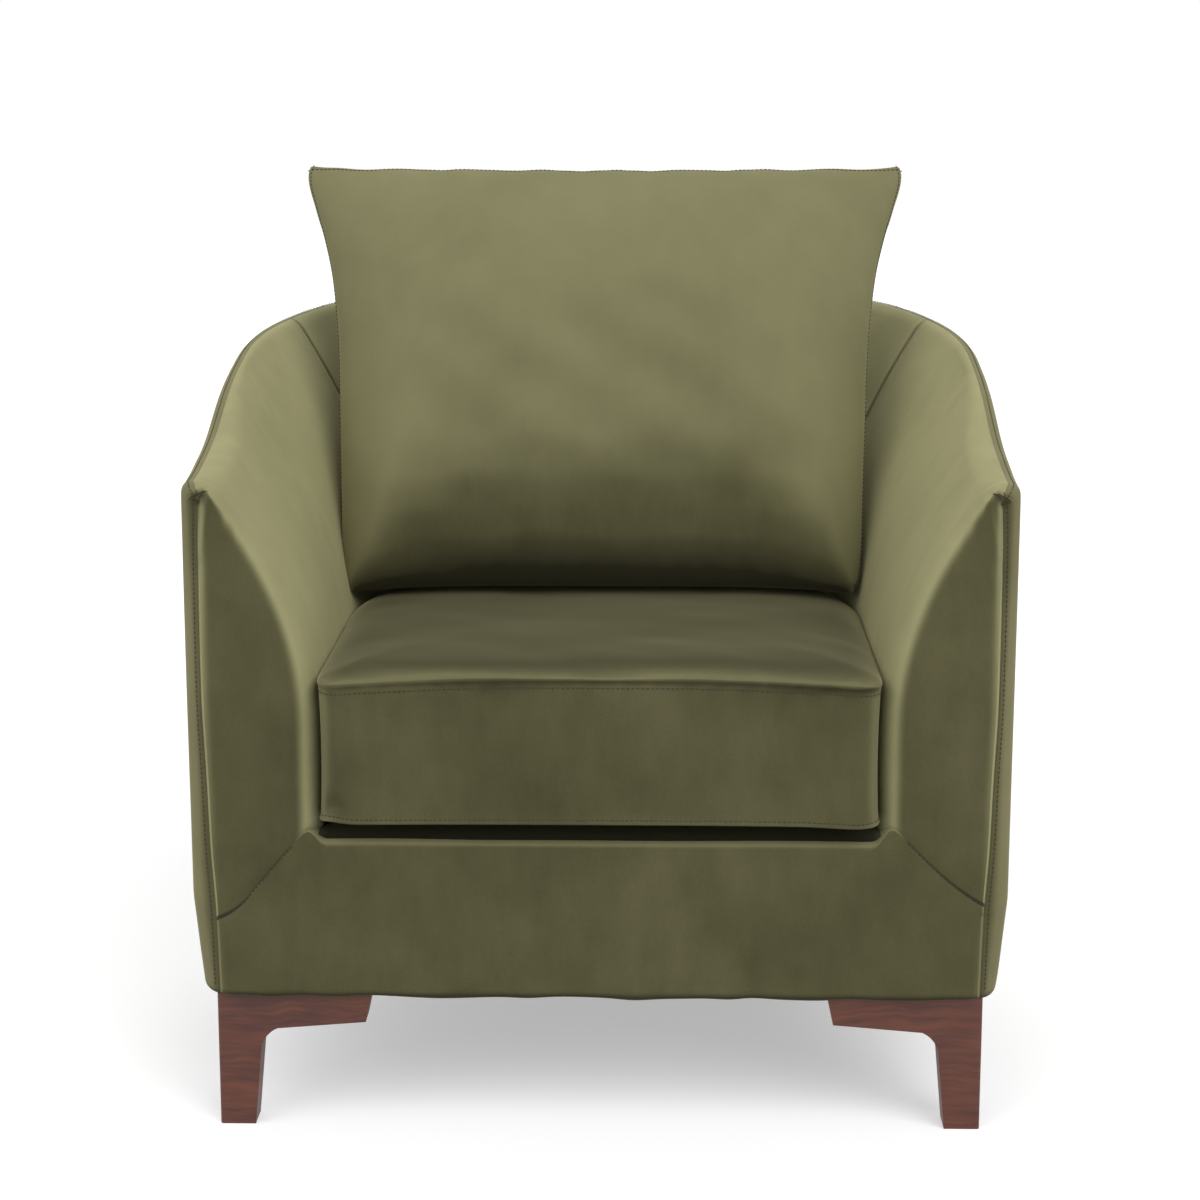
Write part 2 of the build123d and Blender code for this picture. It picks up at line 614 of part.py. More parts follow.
front_corner = (HEM_HALF - FOOT_SIDE_SETBACK, -FRONT_REACH + FOOT_FRONT_SETBACK)
rear_corner = (
    REAR_FOOT_REACH * cos(radians(REAR_FOOT_ANGLE)),
    SIDE_CENTRE + REAR_FOOT_REACH * sin(radians(REAR_FOOT_ANGLE)),
)
for name, (out, along), turned in (("front", front_corner, False), ("rear", rear_corner, True)):
    for side_name, sign in (("left", -1), ("right", 1)):
        with BuildPart() as placed_foot:
            wanted = foot.part
            if sign > 0:
                wanted = wanted.mirror(Plane.YZ)
            if turned:
                wanted = wanted.mirror(Plane.XZ)
            with Locations((sign * out, along, 0)):
                add(wanted)
        keep(f"{name}_foot_{side_name}", placed_foot.part)


# ---- Seat cushion
def cover_profile(reach):
    """Outline of the seat cushion from its middle to one side: belly, drawn-in boxing and crown."""
    middle = (BOXING_BOTTOM + BOXING_TOP) / 2
    belly = [(reach - inward, BOXING_BOTTOM - down) for inward, down in BELLY]
    boxing = [
        (reach, BOXING_BOTTOM),
        (reach - BOXING_DRAW, middle - BOXING_FLAT / 2),
        (reach - BOXING_DRAW, middle + BOXING_FLAT / 2),
        (reach, BOXING_TOP),
    ]
    crown = [(reach - inward, BOXING_TOP + up) for inward, up in CROWN]
    return [(0, belly[0][1])] + belly + boxing + crown + [(0, crown[-1][1])]


def foam_profile(reach):
    """Outline of the foam block in it, which has square edges under a layer of wadding."""
    side = reach - FOAM_INSET
    low = BOXING_BOTTOM - FOAM_EDGE
    high = BOXING_TOP + FOAM_EDGE
    return [(0, low), (side, low), (side, high), (0, high)]


def cushion_solid(outline_at, inset):
    """A D-shaped pad with the given outline: straight sides, a round back, and the same edge in front."""
    half = WELL_HALF - CUSHION_CLEARANCE
    corner = CUSHION_CORNER - inset
    profile = outline_at(half)
    with BuildPart() as form:
        with BuildSketch(Plane.XZ.offset(-WELL_CENTRE)) as right_half:
            with BuildLine():
                Polyline(*profile, close=True)
            make_face()
        revolve(right_half.sketch, axis=Axis((0, WELL_CENTRE, 0), (0, 0, 1)), revolution_arc=180)
        with BuildSketch(Plane.XZ.offset(-WELL_CENTRE)) as whole:
            add(right_half.sketch_local)
            mirror(about=Plane.YZ)
        extrude(whole.sketch, amount=CUSHION_FRONT + WELL_CENTRE)
        with BuildSketch(Plane.YZ) as lengthwise:
            with BuildLine():
                front = [(-y, z) for y, z in outline_at(CUSHION_FRONT)[1:-1]]
                Polyline((FAR, front[0][1]), *front, (FAR, front[-1][1]), close=True)
            make_face()
        extrude(lengthwise.sketch, amount=FAR, both=True, mode=Mode.INTERSECT)
        with BuildSketch() as plan:
            with BuildLine():
                face = -CUSHION_FRONT + inset
                edge = half - inset
                Polyline((-edge + corner, face), (edge - corner, face))
                RadiusArc((edge - corner, face), (edge, face + corner), -corner)
                Polyline((edge, face + corner), (edge, FAR), (-edge, FAR), (-edge, face + corner))
                RadiusArc((-edge, face + corner), (-edge + corner, face), -corner)
            make_face()
        extrude(plan.sketch, amount=SKY, mode=Mode.INTERSECT)
    return form.part


with BuildPart() as seat_cushion_foam:
    add(cushion_solid(foam_profile, FOAM_INSET))
keep("seat_cushion_foam", seat_cushion_foam.part)

with BuildPart() as seat_cushion_cover:
    add(cushion_solid(cover_profile, 0))
    add(seat_cushion_foam.part, mode=Mode.SUBTRACT)
keep("seat_cushion_cover", seat_cushion_cover.part)


def arc_band(inner, outer, middle_z, height, half_angle, middle=90.0):
    """A band round the back of the seat cushion, between two radii, round a middle height."""
    with BuildPart() as band:
        with BuildSketch(Plane.XZ.offset(-WELL_CENTRE)):
            with Locations(((inner + outer) / 2, middle_z)):
                Rectangle(outer - inner, height)
        revolve(axis=Axis((0, WELL_CENTRE, 0), (0, 0, 1)), revolution_arc=2 * half_angle)
    return band.part.rotate(Axis((0, WELL_CENTRE, 0), (0, 0, 1)), middle - half_angle)


zip_height = (BOXING_BOTTOM + BOXING_TOP) / 2
zip_face = WELL_HALF - CUSHION_CLEARANCE - BOXING_DRAW + FIT
slider_floor = zip_face + TAPE + SLIDER_GAP
slider_roof = zip_face + TAPE + CHAIN + SLIDER_GAP
slider_angle = degrees(SLIDER_LENGTH / 2 / zip_face)
closed_angle = 90 + SEAT_ZIP_ANGLE - 2 * slider_angle
with BuildPart() as seat_zip_tape:
    add(arc_band(zip_face, zip_face + TAPE, zip_height, TAPE_WIDTH, SEAT_ZIP_ANGLE))
    add(arc_band(zip_face, zip_face + TAPE + CHAIN, zip_height, CHAIN_WIDTH, SEAT_ZIP_ANGLE))
keep("seat_zip_tape", seat_zip_tape.part)

with BuildPart() as seat_zip_slider:
    saddle = (slider_floor, slider_roof + SLIDER_TOP)
    add(arc_band(*saddle, zip_height, SLIDER_WIDTH, slider_angle, closed_angle))
    slot = CHAIN_WIDTH / 2 + SLIDER_GAP
    add(arc_band(0, slider_roof, zip_height, 2 * slot, 2 * slider_angle, closed_angle), mode=Mode.SUBTRACT)
    pull_middle = zip_height - (SLIDER_WIDTH + PULL_LENGTH) / 2
    pull = (slider_floor, slider_floor + PULL)
    add(arc_band(*pull, pull_middle, PULL_LENGTH, slider_angle / 2, closed_angle))
keep("seat_zip_slider", seat_zip_slider.part)


# ---- Back pillow
def pillow_ring(distance, size):
    """Corners of the pillow on a plane beside its seam plane, with its size against the seam."""
    middle = Vector(0, PILLOW_CENTRE_Y, PILLOW_CENTRE_Z)
    forward = Vector(0, -cos(radians(PILLOW_LEAN)), sin(radians(PILLOW_LEAN)))
    upward = Vector(0, sin(radians(PILLOW_LEAN)), cos(radians(PILLOW_LEAN)))
    side = [(WELL_HALF + beyond, rise) for beyond, rise in PILLOW_SIDE]
    corners = side + [(0, side[-1][1] - TOP_DIP)] + [(-half, rise) for half, rise in reversed(side)]
    return [
        middle + forward * distance + upward * (FULLEST + size * (rise - FULLEST)) + Vector(size * half, 0, 0)
        for half, rise in corners
    ]


pillow_seat = BOXING_TOP + CROWN[-1][1] + FIT
groove_top = pillow_seat + ZIP_GROOVE
tape_plan = (-PILLOW_ZIP_HALF, PILLOW_ZIP_HALF, PILLOW_ZIP_Y - TAPE_WIDTH / 2, PILLOW_ZIP_Y + TAPE_WIDTH / 2)
chain_plan = (-PILLOW_ZIP_HALF, PILLOW_ZIP_HALF, PILLOW_ZIP_Y - CHAIN_WIDTH / 2, PILLOW_ZIP_Y + CHAIN_WIDTH / 2)
with BuildPart() as back_pillow:
    rear_rings = [pillow_ring(-distance, size) for distance, size in reversed(PILLOW_REAR)]
    front_rings = [pillow_ring(distance, size) for distance, size in PILLOW_FRONT]
    add(flat_sided(rear_rings + [pillow_ring(0, 1)] + front_rings))
    add(region(-FAR, FAR, -FAR, FAR, 0, pillow_seat), mode=Mode.SUBTRACT)
    add(region(*tape_plan, 0, groove_top), mode=Mode.SUBTRACT)
keep("back_pillow", back_pillow.part)

with BuildPart() as pillow_zip_tape:
    add(region(*tape_plan, groove_top - TAPE, groove_top))
    add(region(*chain_plan, groove_top - TAPE - CHAIN, groove_top))
keep("pillow_zip_tape", pillow_zip_tape.part)

with BuildPart() as pillow_zip_slider:
    saddle_top = groove_top - TAPE - SLIDER_GAP
    saddle_roof = saddle_top - CHAIN
    start = SLIDER_LENGTH / 2 - PILLOW_ZIP_HALF
    end = start + SLIDER_LENGTH
    add(region(start, end, PILLOW_ZIP_Y - SLIDER_WIDTH / 2, PILLOW_ZIP_Y + SLIDER_WIDTH / 2,
               saddle_roof - SLIDER_TOP, saddle_top))
    slot_sides = (PILLOW_ZIP_Y - slot, PILLOW_ZIP_Y + slot)
    add(region(-FAR, end, *slot_sides, saddle_roof, saddle_top), mode=Mode.SUBTRACT)
    add(region(end, end + PULL_LENGTH, PILLOW_ZIP_Y - PULL_WIDTH / 2, PILLOW_ZIP_Y + PULL_WIDTH / 2,
               saddle_roof - SLIDER_TOP, saddle_roof - SLIDER_TOP + PULL))
keep("pillow_zip_slider", pillow_zip_slider.part)
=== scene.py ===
import json
import logging
import math
from dataclasses import dataclass
from enum import Enum
from typing import Callable, Sequence

import bmesh
import bpy
import numpy as np
from mathutils import Matrix, Vector


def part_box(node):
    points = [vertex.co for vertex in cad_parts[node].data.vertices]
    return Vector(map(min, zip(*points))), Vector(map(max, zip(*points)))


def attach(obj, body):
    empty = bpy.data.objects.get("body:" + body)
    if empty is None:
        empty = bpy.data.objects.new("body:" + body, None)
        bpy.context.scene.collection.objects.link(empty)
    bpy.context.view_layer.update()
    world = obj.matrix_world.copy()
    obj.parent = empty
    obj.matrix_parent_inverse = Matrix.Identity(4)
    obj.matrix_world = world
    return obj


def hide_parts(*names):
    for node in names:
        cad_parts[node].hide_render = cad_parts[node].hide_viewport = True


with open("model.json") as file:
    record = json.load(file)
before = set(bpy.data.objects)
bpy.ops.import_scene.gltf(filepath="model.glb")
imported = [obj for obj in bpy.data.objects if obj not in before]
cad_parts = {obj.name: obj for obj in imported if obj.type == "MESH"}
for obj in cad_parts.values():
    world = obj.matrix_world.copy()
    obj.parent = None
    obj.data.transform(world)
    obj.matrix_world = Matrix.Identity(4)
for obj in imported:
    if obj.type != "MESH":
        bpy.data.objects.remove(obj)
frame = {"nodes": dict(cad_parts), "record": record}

LOG = logging.getLogger("tub_chair")
MM = 0.001
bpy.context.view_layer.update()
Grid = np.ndarray
Curve = Callable[[np.ndarray], np.ndarray]


class Side(Enum):
    """Which side of the chair a piece is on, seen from the front."""

    LEFT = -1
    RIGHT = 1


class Body(Enum):
    """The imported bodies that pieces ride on."""

    CHAIR = "chair_body"
    SEAT = "seat_cushion"
    PILLOW = "back_pillow_body"


class Edge(Enum):
    """Border of a panel, by its rows and columns."""

    LOW = 0
    TOP = 1
    FIRST = 2
    LAST = 3


class Shape(Enum):
    """What is set along a path."""

    STITCH = "stitch"
    STAPLE = "staple"
    TOOTH = "tooth"


# ---------------------------------------------------------------- small tools


def linear(code: str) -> tuple[float, float, float, float]:
    """Turns an sRGB hex colour into linear RGBA.

    Args:
        code: Colour such as "#57553a".

    Returns:
        Linear red, green, blue and an alpha of 1.
    """
    parts = [int(code[i : i + 2], 16) / 255 for i in (1, 3, 5)]
    red, green, blue = (c / 12.92 if c <= 0.04045 else ((c + 0.055) / 1.055) ** 2.4 for c in parts)
    return (red, green, blue, 1.0)


def per_metre(size_mm: float) -> float:
    """Noise scale for a pattern whose features are size_mm across."""
    return 1.0 / (size_mm * MM)


def add_node(tree: bpy.types.NodeTree, kind: str, inputs: dict | None = None, **settings: object) -> bpy.types.Node:
    """Adds a node, sets its properties, and fills or links its inputs.

    Args:
        tree: Node tree to add to.
        kind: Blender's type name of the node.
        inputs: Input name or index to a value, or to the output socket that feeds it.
        settings: Properties of the node.

    Returns:
        The node.
    """
    made = tree.nodes.new(kind)
    for name, value in settings.items():
        setattr(made, name, value)
    for socket, value in (inputs or {}).items():
        if isinstance(value, bpy.types.NodeSocket):
            tree.links.new(value, made.inputs[socket])
        else:
            made.inputs[socket].default_value = value
    return made


def smooth_curve(points: Sequence[tuple[float, float]]) -> Curve:
    """A smooth function through points, with no overshoot at flat stretches.

    Args:
        points: Increasing positions with their values.

    Returns:
        Function from positions to values, constant beyond both ends.
    """
    x, y = (np.array(c, dtype=float) for c in zip(*points))
    step = np.diff(x)
    rise = np.diff(y) / step
    slope = np.zeros_like(y)
    same = rise[:-1] * rise[1:] > 0
    near, far = 2 * step[1:] + step[:-1], step[1:] + 2 * step[:-1]
    safe = np.where(same, rise[:-1], 1.0), np.where(same, rise[1:], 1.0)
    slope[1:-1] = np.where(same, (near + far) / (near / safe[0] + far / safe[1]), 0.0)
    slope[0], slope[-1] = rise[0], rise[-1]

    def value(at: np.ndarray) -> np.ndarray:
        """Value at the given positions."""
        at = np.clip(np.asarray(at, dtype=float), x[0], x[-1])
        k = np.clip(np.searchsorted(x, at) - 1, 0, len(step) - 1)
        t = (at - x[k]) / step[k]
        a, b = 2 * t**3 - 3 * t**2 + 1, t**3 - 2 * t**2 + t
        c, d = -2 * t**3 + 3 * t**2, t**3 - t**2
        return a * y[k] + b * step[k] * slope[k] + c * y[k + 1] + d * step[k] * slope[k + 1]

    return value


def ease(t: np.ndarray | float) -> np.ndarray:
    """Goes smoothly from 0 to 1."""
    t = np.clip(t, 0.0, 1.0)
    return t * t * (3 - 2 * t)


def hermite(start: Grid, start_pull: Grid, end: Grid, end_pull: Grid, t: Grid) -> Grid:
    """Points on smooth curves between two points with given tangents.

    Args:
        start: Start points.
        start_pull: Tangents there, with their length.
        end: End points.
        end_pull: Tangents there.
        t: Share of the way, which broadcasts with the points.

    Returns:
        The points.
    """
    return (
        (2 * t**3 - 3 * t**2 + 1) * start
        + (t**3 - 2 * t**2 + t) * start_pull
        + (-2 * t**3 + 3 * t**2) * end
        + (t**3 - t**2) * end_pull
    )


def ripple(points: Grid, size: float, seed: int, stretch: tuple[float, float, float] = (1, 1, 1)) -> Grid:
    """Smooth random values from about -1 to 1, the same for the same seed.

    Args:
        points: Points in millimetres, with x, y, z last.
        size: Rough distance between highs, in millimetres.
        seed: Seed of the random waves.
        stretch: Factors that draw the pattern out along x, y and z.

    Returns:
        One value for each point.
    """
    rng = np.random.default_rng(seed)
    waves = rng.normal(size=(14, 3))
    waves /= np.linalg.norm(waves, axis=1)[:, None]
    waves *= (2 * math.pi / size) * rng.uniform(0.6, 1.5, size=(14, 1)) / np.array(stretch)
    phase = rng.uniform(0, 2 * math.pi, 14)
    return np.sin(points @ waves.T + phase).sum(axis=-1) / 4.5


def normals_of(grid: Grid) -> Grid:
    """Unit normals of a grid of points, rows by columns by 3."""
    normal = np.cross(np.gradient(grid, axis=1), np.gradient(grid, axis=0))
    return normal / np.maximum(np.linalg.norm(normal, axis=-1, keepdims=True), 1e-9)


def build_mesh(name: str, points: Grid, faces: list[tuple[int, ...]], smooth: bool = True) -> bpy.types.Object:
    """Makes a mesh object from points in millimetres.

    Args:
        name: Name of the object.
        points: One point per row.
        faces: Corner numbers of each face.
        smooth: Shade it smooth.

    Returns:
        The object, linked to the scene.
    """
    mesh = bpy.data.meshes.new(name)
    mesh.from_pydata((np.asarray(points) * MM).tolist(), [], faces)
    mesh.validate()
    made = bpy.data.objects.new(name, mesh)
    bpy.context.scene.collection.objects.link(made)
    mesh.polygons.foreach_set("use_smooth", [smooth] * len(mesh.polygons))
    return made


def face_outwards(made: bpy.types.Object) -> None:
    """Turns the faces of a closed mesh outwards."""
    work = bmesh.new()
    work.from_mesh(made.data)
    bmesh.ops.recalc_face_normals(work, faces=work.faces)
    work.to_mesh(made.data)
    work.free()


def subdivide(made: bpy.types.Object) -> None:
    """Adds one level of subdivision surface to a finished mesh."""
    modifier = made.modifiers.new("Subdivision", "SUBSURF")
    modifier.levels = modifier.render_levels = 1


def two_sheets(rows: int, columns: int) -> list[tuple[int, ...]]:
    """Faces of two grids of points that lie back to back, the second numbered after the first."""
    faces: list[tuple[int, ...]] = []
    for r in range(rows - 1):
        for c in range(columns - 1):
            a = r * columns + c
            quad = (a, a + 1, a + 1 + columns, a + columns)
            faces.append(quad)
            faces.append(tuple(rows * columns + i for i in reversed(quad)))
    return faces


def padded_panel(name: str, grid: Grid, thickness: float) -> bpy.types.Object:
    """Makes a closed pad whose outer face is the grid.

    Args:
        name: Name of the piece.
        grid: Points of the outer face in millimetres, rows by columns by 3, with normals outwards.
        thickness: Thickness of the pad in millimetres.

    Returns:
        The object.
    """
    rows, columns = grid.shape[:2]
    inner = grid - normals_of(grid) * thickness
    points = np.concatenate([grid.reshape(-1, 3), inner.reshape(-1, 3)])
    size = rows * columns
    faces = two_sheets(rows, columns)
    rim = rim_numbers(rows, columns)
    for a, b in zip(rim, rim[1:] + rim[:1]):
        faces.append((a, a + size, b + size, b))
    made = build_mesh(name, points, faces)
    face_outwards(made)
    crease_rim(made, rim, size)
    subdivide(made)
    return made


def crease_rim(made: bpy.types.Object, rim: list[int], size: int) -> None:
    """Keeps the border of a panel where it is, so that panels meet at their seams.

    Args:
        made: The panel.
        rim: Numbers of its outer border points, in order.
        size: Number of points in its outer face.
    """
    mesh = made.data
    place = np.full(len(mesh.vertices), -1)
    place[rim] = np.arange(len(rim))
    ends = np.zeros(len(mesh.edges) * 2, dtype=int)
    mesh.edges.foreach_get("vertices", ends)
    ends = ends.reshape(-1, 2)
    first, second = place[ends[:, 0]], place[ends[:, 1]]
    step = np.abs(first - second)
    on_rim = (first >= 0) & (second >= 0) & ((step == 1) | (step == len(rim) - 1))
    low, high = ends.min(axis=1), ends.max(axis=1)
    through = (place[low] >= 0) & (high == low + size)
    mesh.attributes.new("crease_edge", "FLOAT", "EDGE").data.foreach_set("value", (on_rim | through).astype(np.float32))


def patch(low: Grid, high: Grid, left: Grid, right: Grid, across: Grid, up: Grid) -> Grid:
    """Fills four border lines with a smooth grid.

    Args:
        low: Points of the first row.
        high: Points of the last row.
        left: Points of the first column.
        right: Points of the last column.
        across: Positions from 0 to 1 along the rows.
        up: Positions from 0 to 1 along the columns.

    Returns:
        Points, rows by columns, in the border's dimensions.
    """
    u, v = across[None, :, None], up[:, None, None]
    ruled = (1 - v) * low[None] + v * high[None] + (1 - u) * left[:, None] + u * right[:, None]
    corners = (1 - u) * (1 - v) * low[0] + u * (1 - v) * low[-1] + (1 - u) * v * high[0] + u * v * high[-1]
    return ruled - corners


def crowded(count: int, fine: Sequence[float]) -> Grid:
    """Positions from 0 to 1 that crowd at both ends.

    Args:
        count: Number of even steps between the crowded ends.
        fine: Extra positions near 0, mirrored near 1.

    Returns:
        Sorted positions.
    """
    start = fine[-1] + (fine[-1] - fine[-2])
    middle = np.linspace(start, 1 - start, count)
    return np.concatenate([[0.0], fine, middle, 1 - np.array(fine)[::-1], [1.0]])


def along_line(line: Grid, at: Grid) -> Grid:
    """Points at shares of the length of a line."""
    length = np.concatenate([[0], np.cumsum(np.linalg.norm(np.diff(line, axis=0), axis=-1))])
    return np.stack([np.interp(at * length[-1], length, line[:, k]) for k in range(line.shape[1])], axis=-1)


def rim_numbers(rows: int, columns: int) -> list[int]:
    """Point numbers round the border of a grid, in order."""
    rim = list(range(columns)) + [r * columns + columns - 1 for r in range(1, rows)]
    rim += [(rows - 1) * columns + c for c in range(columns - 2, -1, -1)]
    return rim + [r * columns for r in range(rows - 2, 0, -1)]


def closed_shell(name: str, under: Grid, rings: list[Grid], over: Grid, rounded: bool = True) -> bpy.types.Object:
    """Joins a lower grid, rings round its border and an upper grid into one closed mesh.

    Args:
        name: Name of the piece.
        under: Points of the underside, rows by columns by 3.
        rings: Rings between the two borders, each with a point for every border point.
        over: Points of the upper side, of the same shape as the underside.
        rounded: Give it a subdivision surface.

    Returns:
        The object.
    """
    rows, columns = under.shape[:2]
    size = rows * columns
    faces = [tuple(reversed(face)) for face in two_sheets(rows, columns)]
    rim = rim_numbers(rows, columns)
    levels_of_points = [rim]
    points = [under.reshape(-1, 3), over.reshape(-1, 3)]
    for index, ring in enumerate(rings):
        points.append(ring)
        levels_of_points.append([2 * size + index * len(rim) + k for k in range(len(rim))])
    levels_of_points.append([size + i for i in rim])
    for lower, upper in zip(levels_of_points, levels_of_points[1:]):
        for k, (a, b) in enumerate(zip(lower, upper)):
            n = (k + 1) % len(rim)
            faces.append((a, lower[n], upper[n], b))
    made = build_mesh(name, np.concatenate(points), faces)
    face_outwards(made)
    if rounded:
        subdivide(made)
    return made


def mirrored(grid: Grid) -> Grid:
    """The grid on the other side of the chair, with its columns turned so that normals stay outwards."""
    other = grid[:, ::-1].copy()
    other[..., 0] *= -1
    return other


# ---------------------------------------------------------------- finishes


def start_material(name: str) -> tuple[bpy.types.Material, bpy.types.NodeTree, bpy.types.NodeSocket]:
    """Makes an empty material.

    Args:
        name: Name of the material.

    Returns:
        The material, its node tree and a socket with places in the object's own coordinates.
    """
    material = bpy.data.materials.new(name)
    material.use_nodes = True
    tree = material.node_tree
    tree.nodes.clear()
    return material, tree, add_node(tree, "ShaderNodeTexCoord").outputs["Object"]


@dataclass(frozen=True)
class Velvet:
    """Short-pile cotton velvet. Faces turned aside or up are painted lighter than fronts, a painted highlight for the
    light and sheen they catch; faces that turn down, and on the seat faces that turn up, are painted darker as painted
    shade.
    """

    deep: str = "#45432c"
    main: str = "#535137"
    stroked: str = "#615e43"
    raised: str = "#a7a47a"  # painted highlight on faces turned aside or up, for the light and sheen they catch
    painted_underside_shade: str = "#232116"  # painted shade on faces that turn down
    painted_top_shade: str = "#3f3d29"  # painted shade on faces that turn up, used on the seat
    # share of the painted shade on faces that turn up
    top_shade_share: float = 0.0
    # share of the painted highlight
    lift: float = 0.9
    turned: tuple[float, float] = (0.985, 0.68)  # how far a face looks to the front where the painted highlight starts and ends
    bloom: str = "#c9c39a"
    patch_mm: float = 150.0  # areas where the pile has been stroked one way
    streak_mm: float = 26.0
    pile_mm: float = 1.9  # real pile is 0.3 mm; drawn coarser so that it shows

    def build(self, name: str) -> bpy.types.Material:
        """Makes the material.

        Args:
            name: Name of the material.

        Returns:
            The material.
        """
        material, tree, place = start_material(name)
        patches = add_node(
            tree,
            "ShaderNodeTexNoise",
            {"Vector": place, "Scale": per_metre(self.patch_mm), "Detail": 3.0, "Roughness": 0.55},
        )
        drawn = add_node(tree, "ShaderNodeMapping", {"Vector": place, "Scale": (1.0, 1.0, 0.35)})
        streaks = add_node(
            tree,
            "ShaderNodeTexNoise",
            {"Vector": drawn.outputs[0], "Scale": per_metre(self.streak_mm), "Detail": 4.0, "Roughness": 0.6},
        )
        pile = add_node(
            tree,
            "ShaderNodeTexNoise",
            {"Vector": place, "Scale": per_metre(self.pile_mm), "Detail": 2.0, "Roughness": 0.7},
        )
        both = add_node(
            tree, "ShaderNodeMix", {0: 0.3, 2: patches.outputs[0], 3: streaks.outputs[0]}, data_type="FLOAT"
        )
        fine = add_node(tree, "ShaderNodeMix", {0: 0.16, 2: both.outputs[0], 3: pile.outputs[0]}, data_type="FLOAT")
        tones = add_node(tree, "ShaderNodeValToRGB", {"Fac": fine.outputs[0]})
        ramp = tones.color_ramp
        ramp.elements[0].position, ramp.elements[0].color = 0.3, linear(self.deep)
        ramp.elements[1].position, ramp.elements[1].color = 0.7, linear(self.stroked)
        middle = ramp.elements.new(0.5)
        middle.color = linear(self.main)
        facing = add_node(tree, "ShaderNodeSeparateXYZ", {0: add_node(tree, "ShaderNodeNewGeometry").outputs["Normal"]})
        front = add_node(tree, "ShaderNodeMath", {0: facing.outputs[1]}, operation="ABSOLUTE")
        start, end = self.turned
        highlight_by_facing = add_node(
            tree,
            "ShaderNodeMapRange",
            {0: front.outputs[0], 1: start, 2: end, 3: 0.0, 4: self.lift},
            interpolation_type="SMOOTHSTEP",
        )
        uneven = add_node(tree, "ShaderNodeMapRange", {0: both.outputs[0], 1: 0.35, 2: 0.65, 3: 0.8, 4: 1.0})
        share = add_node(tree, "ShaderNodeMath", {0: highlight_by_facing.outputs[0], 1: uneven.outputs[0]}, operation="MULTIPLY")
        # painted highlight: faces turned aside or up are mixed toward the highlight colour
        raised = add_node(
            tree, "ShaderNodeMix", {0: share.outputs[0], 6: tones.outputs[0], 7: linear(self.raised)}, data_type="RGBA"
        )
        # painted shade: faces that turn down are mixed toward a dark colour
        shade_by_facing_down = add_node(tree, "ShaderNodeMapRange", {0: facing.outputs[2], 1: -0.03, 2: -0.45, 3: 0.0, 4: 0.9})
        underside_shaded = add_node(
            tree, "ShaderNodeMix", {0: shade_by_facing_down.outputs[0], 6: raised.outputs[2], 7: linear(self.painted_underside_shade)}, data_type="RGBA"
        )
        # painted shade: faces that turn up are mixed toward a dark colour
        flat = add_node(tree, "ShaderNodeMapRange", {0: facing.outputs[2], 1: 0.8, 2: 0.98, 3: 0.0, 4: self.top_shade_share})
        top_shaded = add_node(
            tree, "ShaderNodeMix", {0: flat.outputs[0], 6: underside_shaded.outputs[2], 7: linear(self.painted_top_shade)}, data_type="RGBA"
        )
        bump = add_node(
            tree, "ShaderNodeBump", {"Strength": 0.35, "Distance": 0.0006, "Height": pile.outputs[0]}
        )
        shader = add_node(
            tree,
            "ShaderNodeBsdfPrincipled",
            {
                "Base Color": top_shaded.outputs[2],
                "Roughness": 0.92,
                "IOR": 1.45,
                "Specular IOR Level": 0.12,
                "Sheen Weight": 0.45,
                "Sheen Roughness": 0.42,
                "Sheen Tint": linear(self.bloom),
                "Normal": bump.outputs[0],
            },
        )
        add_node(tree, "ShaderNodeOutputMaterial", {"Surface": shader.outputs[0]})
        return material


@dataclass(frozen=True)
class Timber:
    """Sawn or stained wood. Long dark and light lines follow the grain, with fine pores between them."""

    dark: str
    light: str
    roughness: float
    grain_mm: float = 5.0  # distance between growth lines
    pore_mm: float = 1.3
    coat: float = 0.0
    along: tuple[float, float, float] = (0.07, 0.07, 1.0)  # grain runs level, so it varies fast only upwards

    def build(self, name: str) -> bpy.types.Material:
        """Makes the material.

        Args:
            name: Name of the material.

        Returns:
            The material.
        """
        material, tree, place = start_material(name)
        sway = add_node(tree, "ShaderNodeTexNoise", {"Vector": place, "Scale": per_metre(70.0), "Detail": 2.0})
        bent = add_node(tree, "ShaderNodeMix", {0: 0.02, 4: place, 5: sway.outputs[1]}, data_type="VECTOR")
        drawn = add_node(tree, "ShaderNodeMapping", {"Vector": bent.outputs[1], "Scale": self.along})
        grain = add_node(
            tree,
            "ShaderNodeTexNoise",
            {"Vector": drawn.outputs[0], "Scale": per_metre(self.grain_mm), "Detail": 5.0, "Roughness": 0.65},
        )
        pores = add_node(
            tree, "ShaderNodeTexNoise", {"Vector": drawn.outputs[0], "Scale": per_metre(self.pore_mm), "Detail": 2.0}
        )
        knots = add_node(tree, "ShaderNodeTexNoise", {"Vector": place, "Scale": per_metre(45.0), "Detail": 1.0})
        cloudy = add_node(tree, "ShaderNodeMix", {0: 0.3, 2: grain.outputs[0], 3: knots.outputs[0]}, data_type="FLOAT")
        tones = add_node(tree, "ShaderNodeValToRGB", {"Fac": cloudy.outputs[0]})
        tones.color_ramp.elements[0].position, tones.color_ramp.elements[0].color = 0.38, linear(self.dark)
        tones.color_ramp.elements[1].position, tones.color_ramp.elements[1].color = 0.62, linear(self.light)
        bump = add_node(tree, "ShaderNodeBump", {"Strength": 0.3, "Distance": 0.0004, "Height": pores.outputs[0]})
        shader = add_node(
            tree,
            "ShaderNodeBsdfPrincipled",
            {
                "Base Color": tones.outputs[0],
                "Roughness": self.roughness,
                "IOR": 1.5,
                "Coat Weight": self.coat,
                "Coat Roughness": 0.3,
                "Normal": bump.outputs[0],
            },
        )
        add_node(tree, "ShaderNodeOutputMaterial", {"Surface": shader.outputs[0]})
        return material


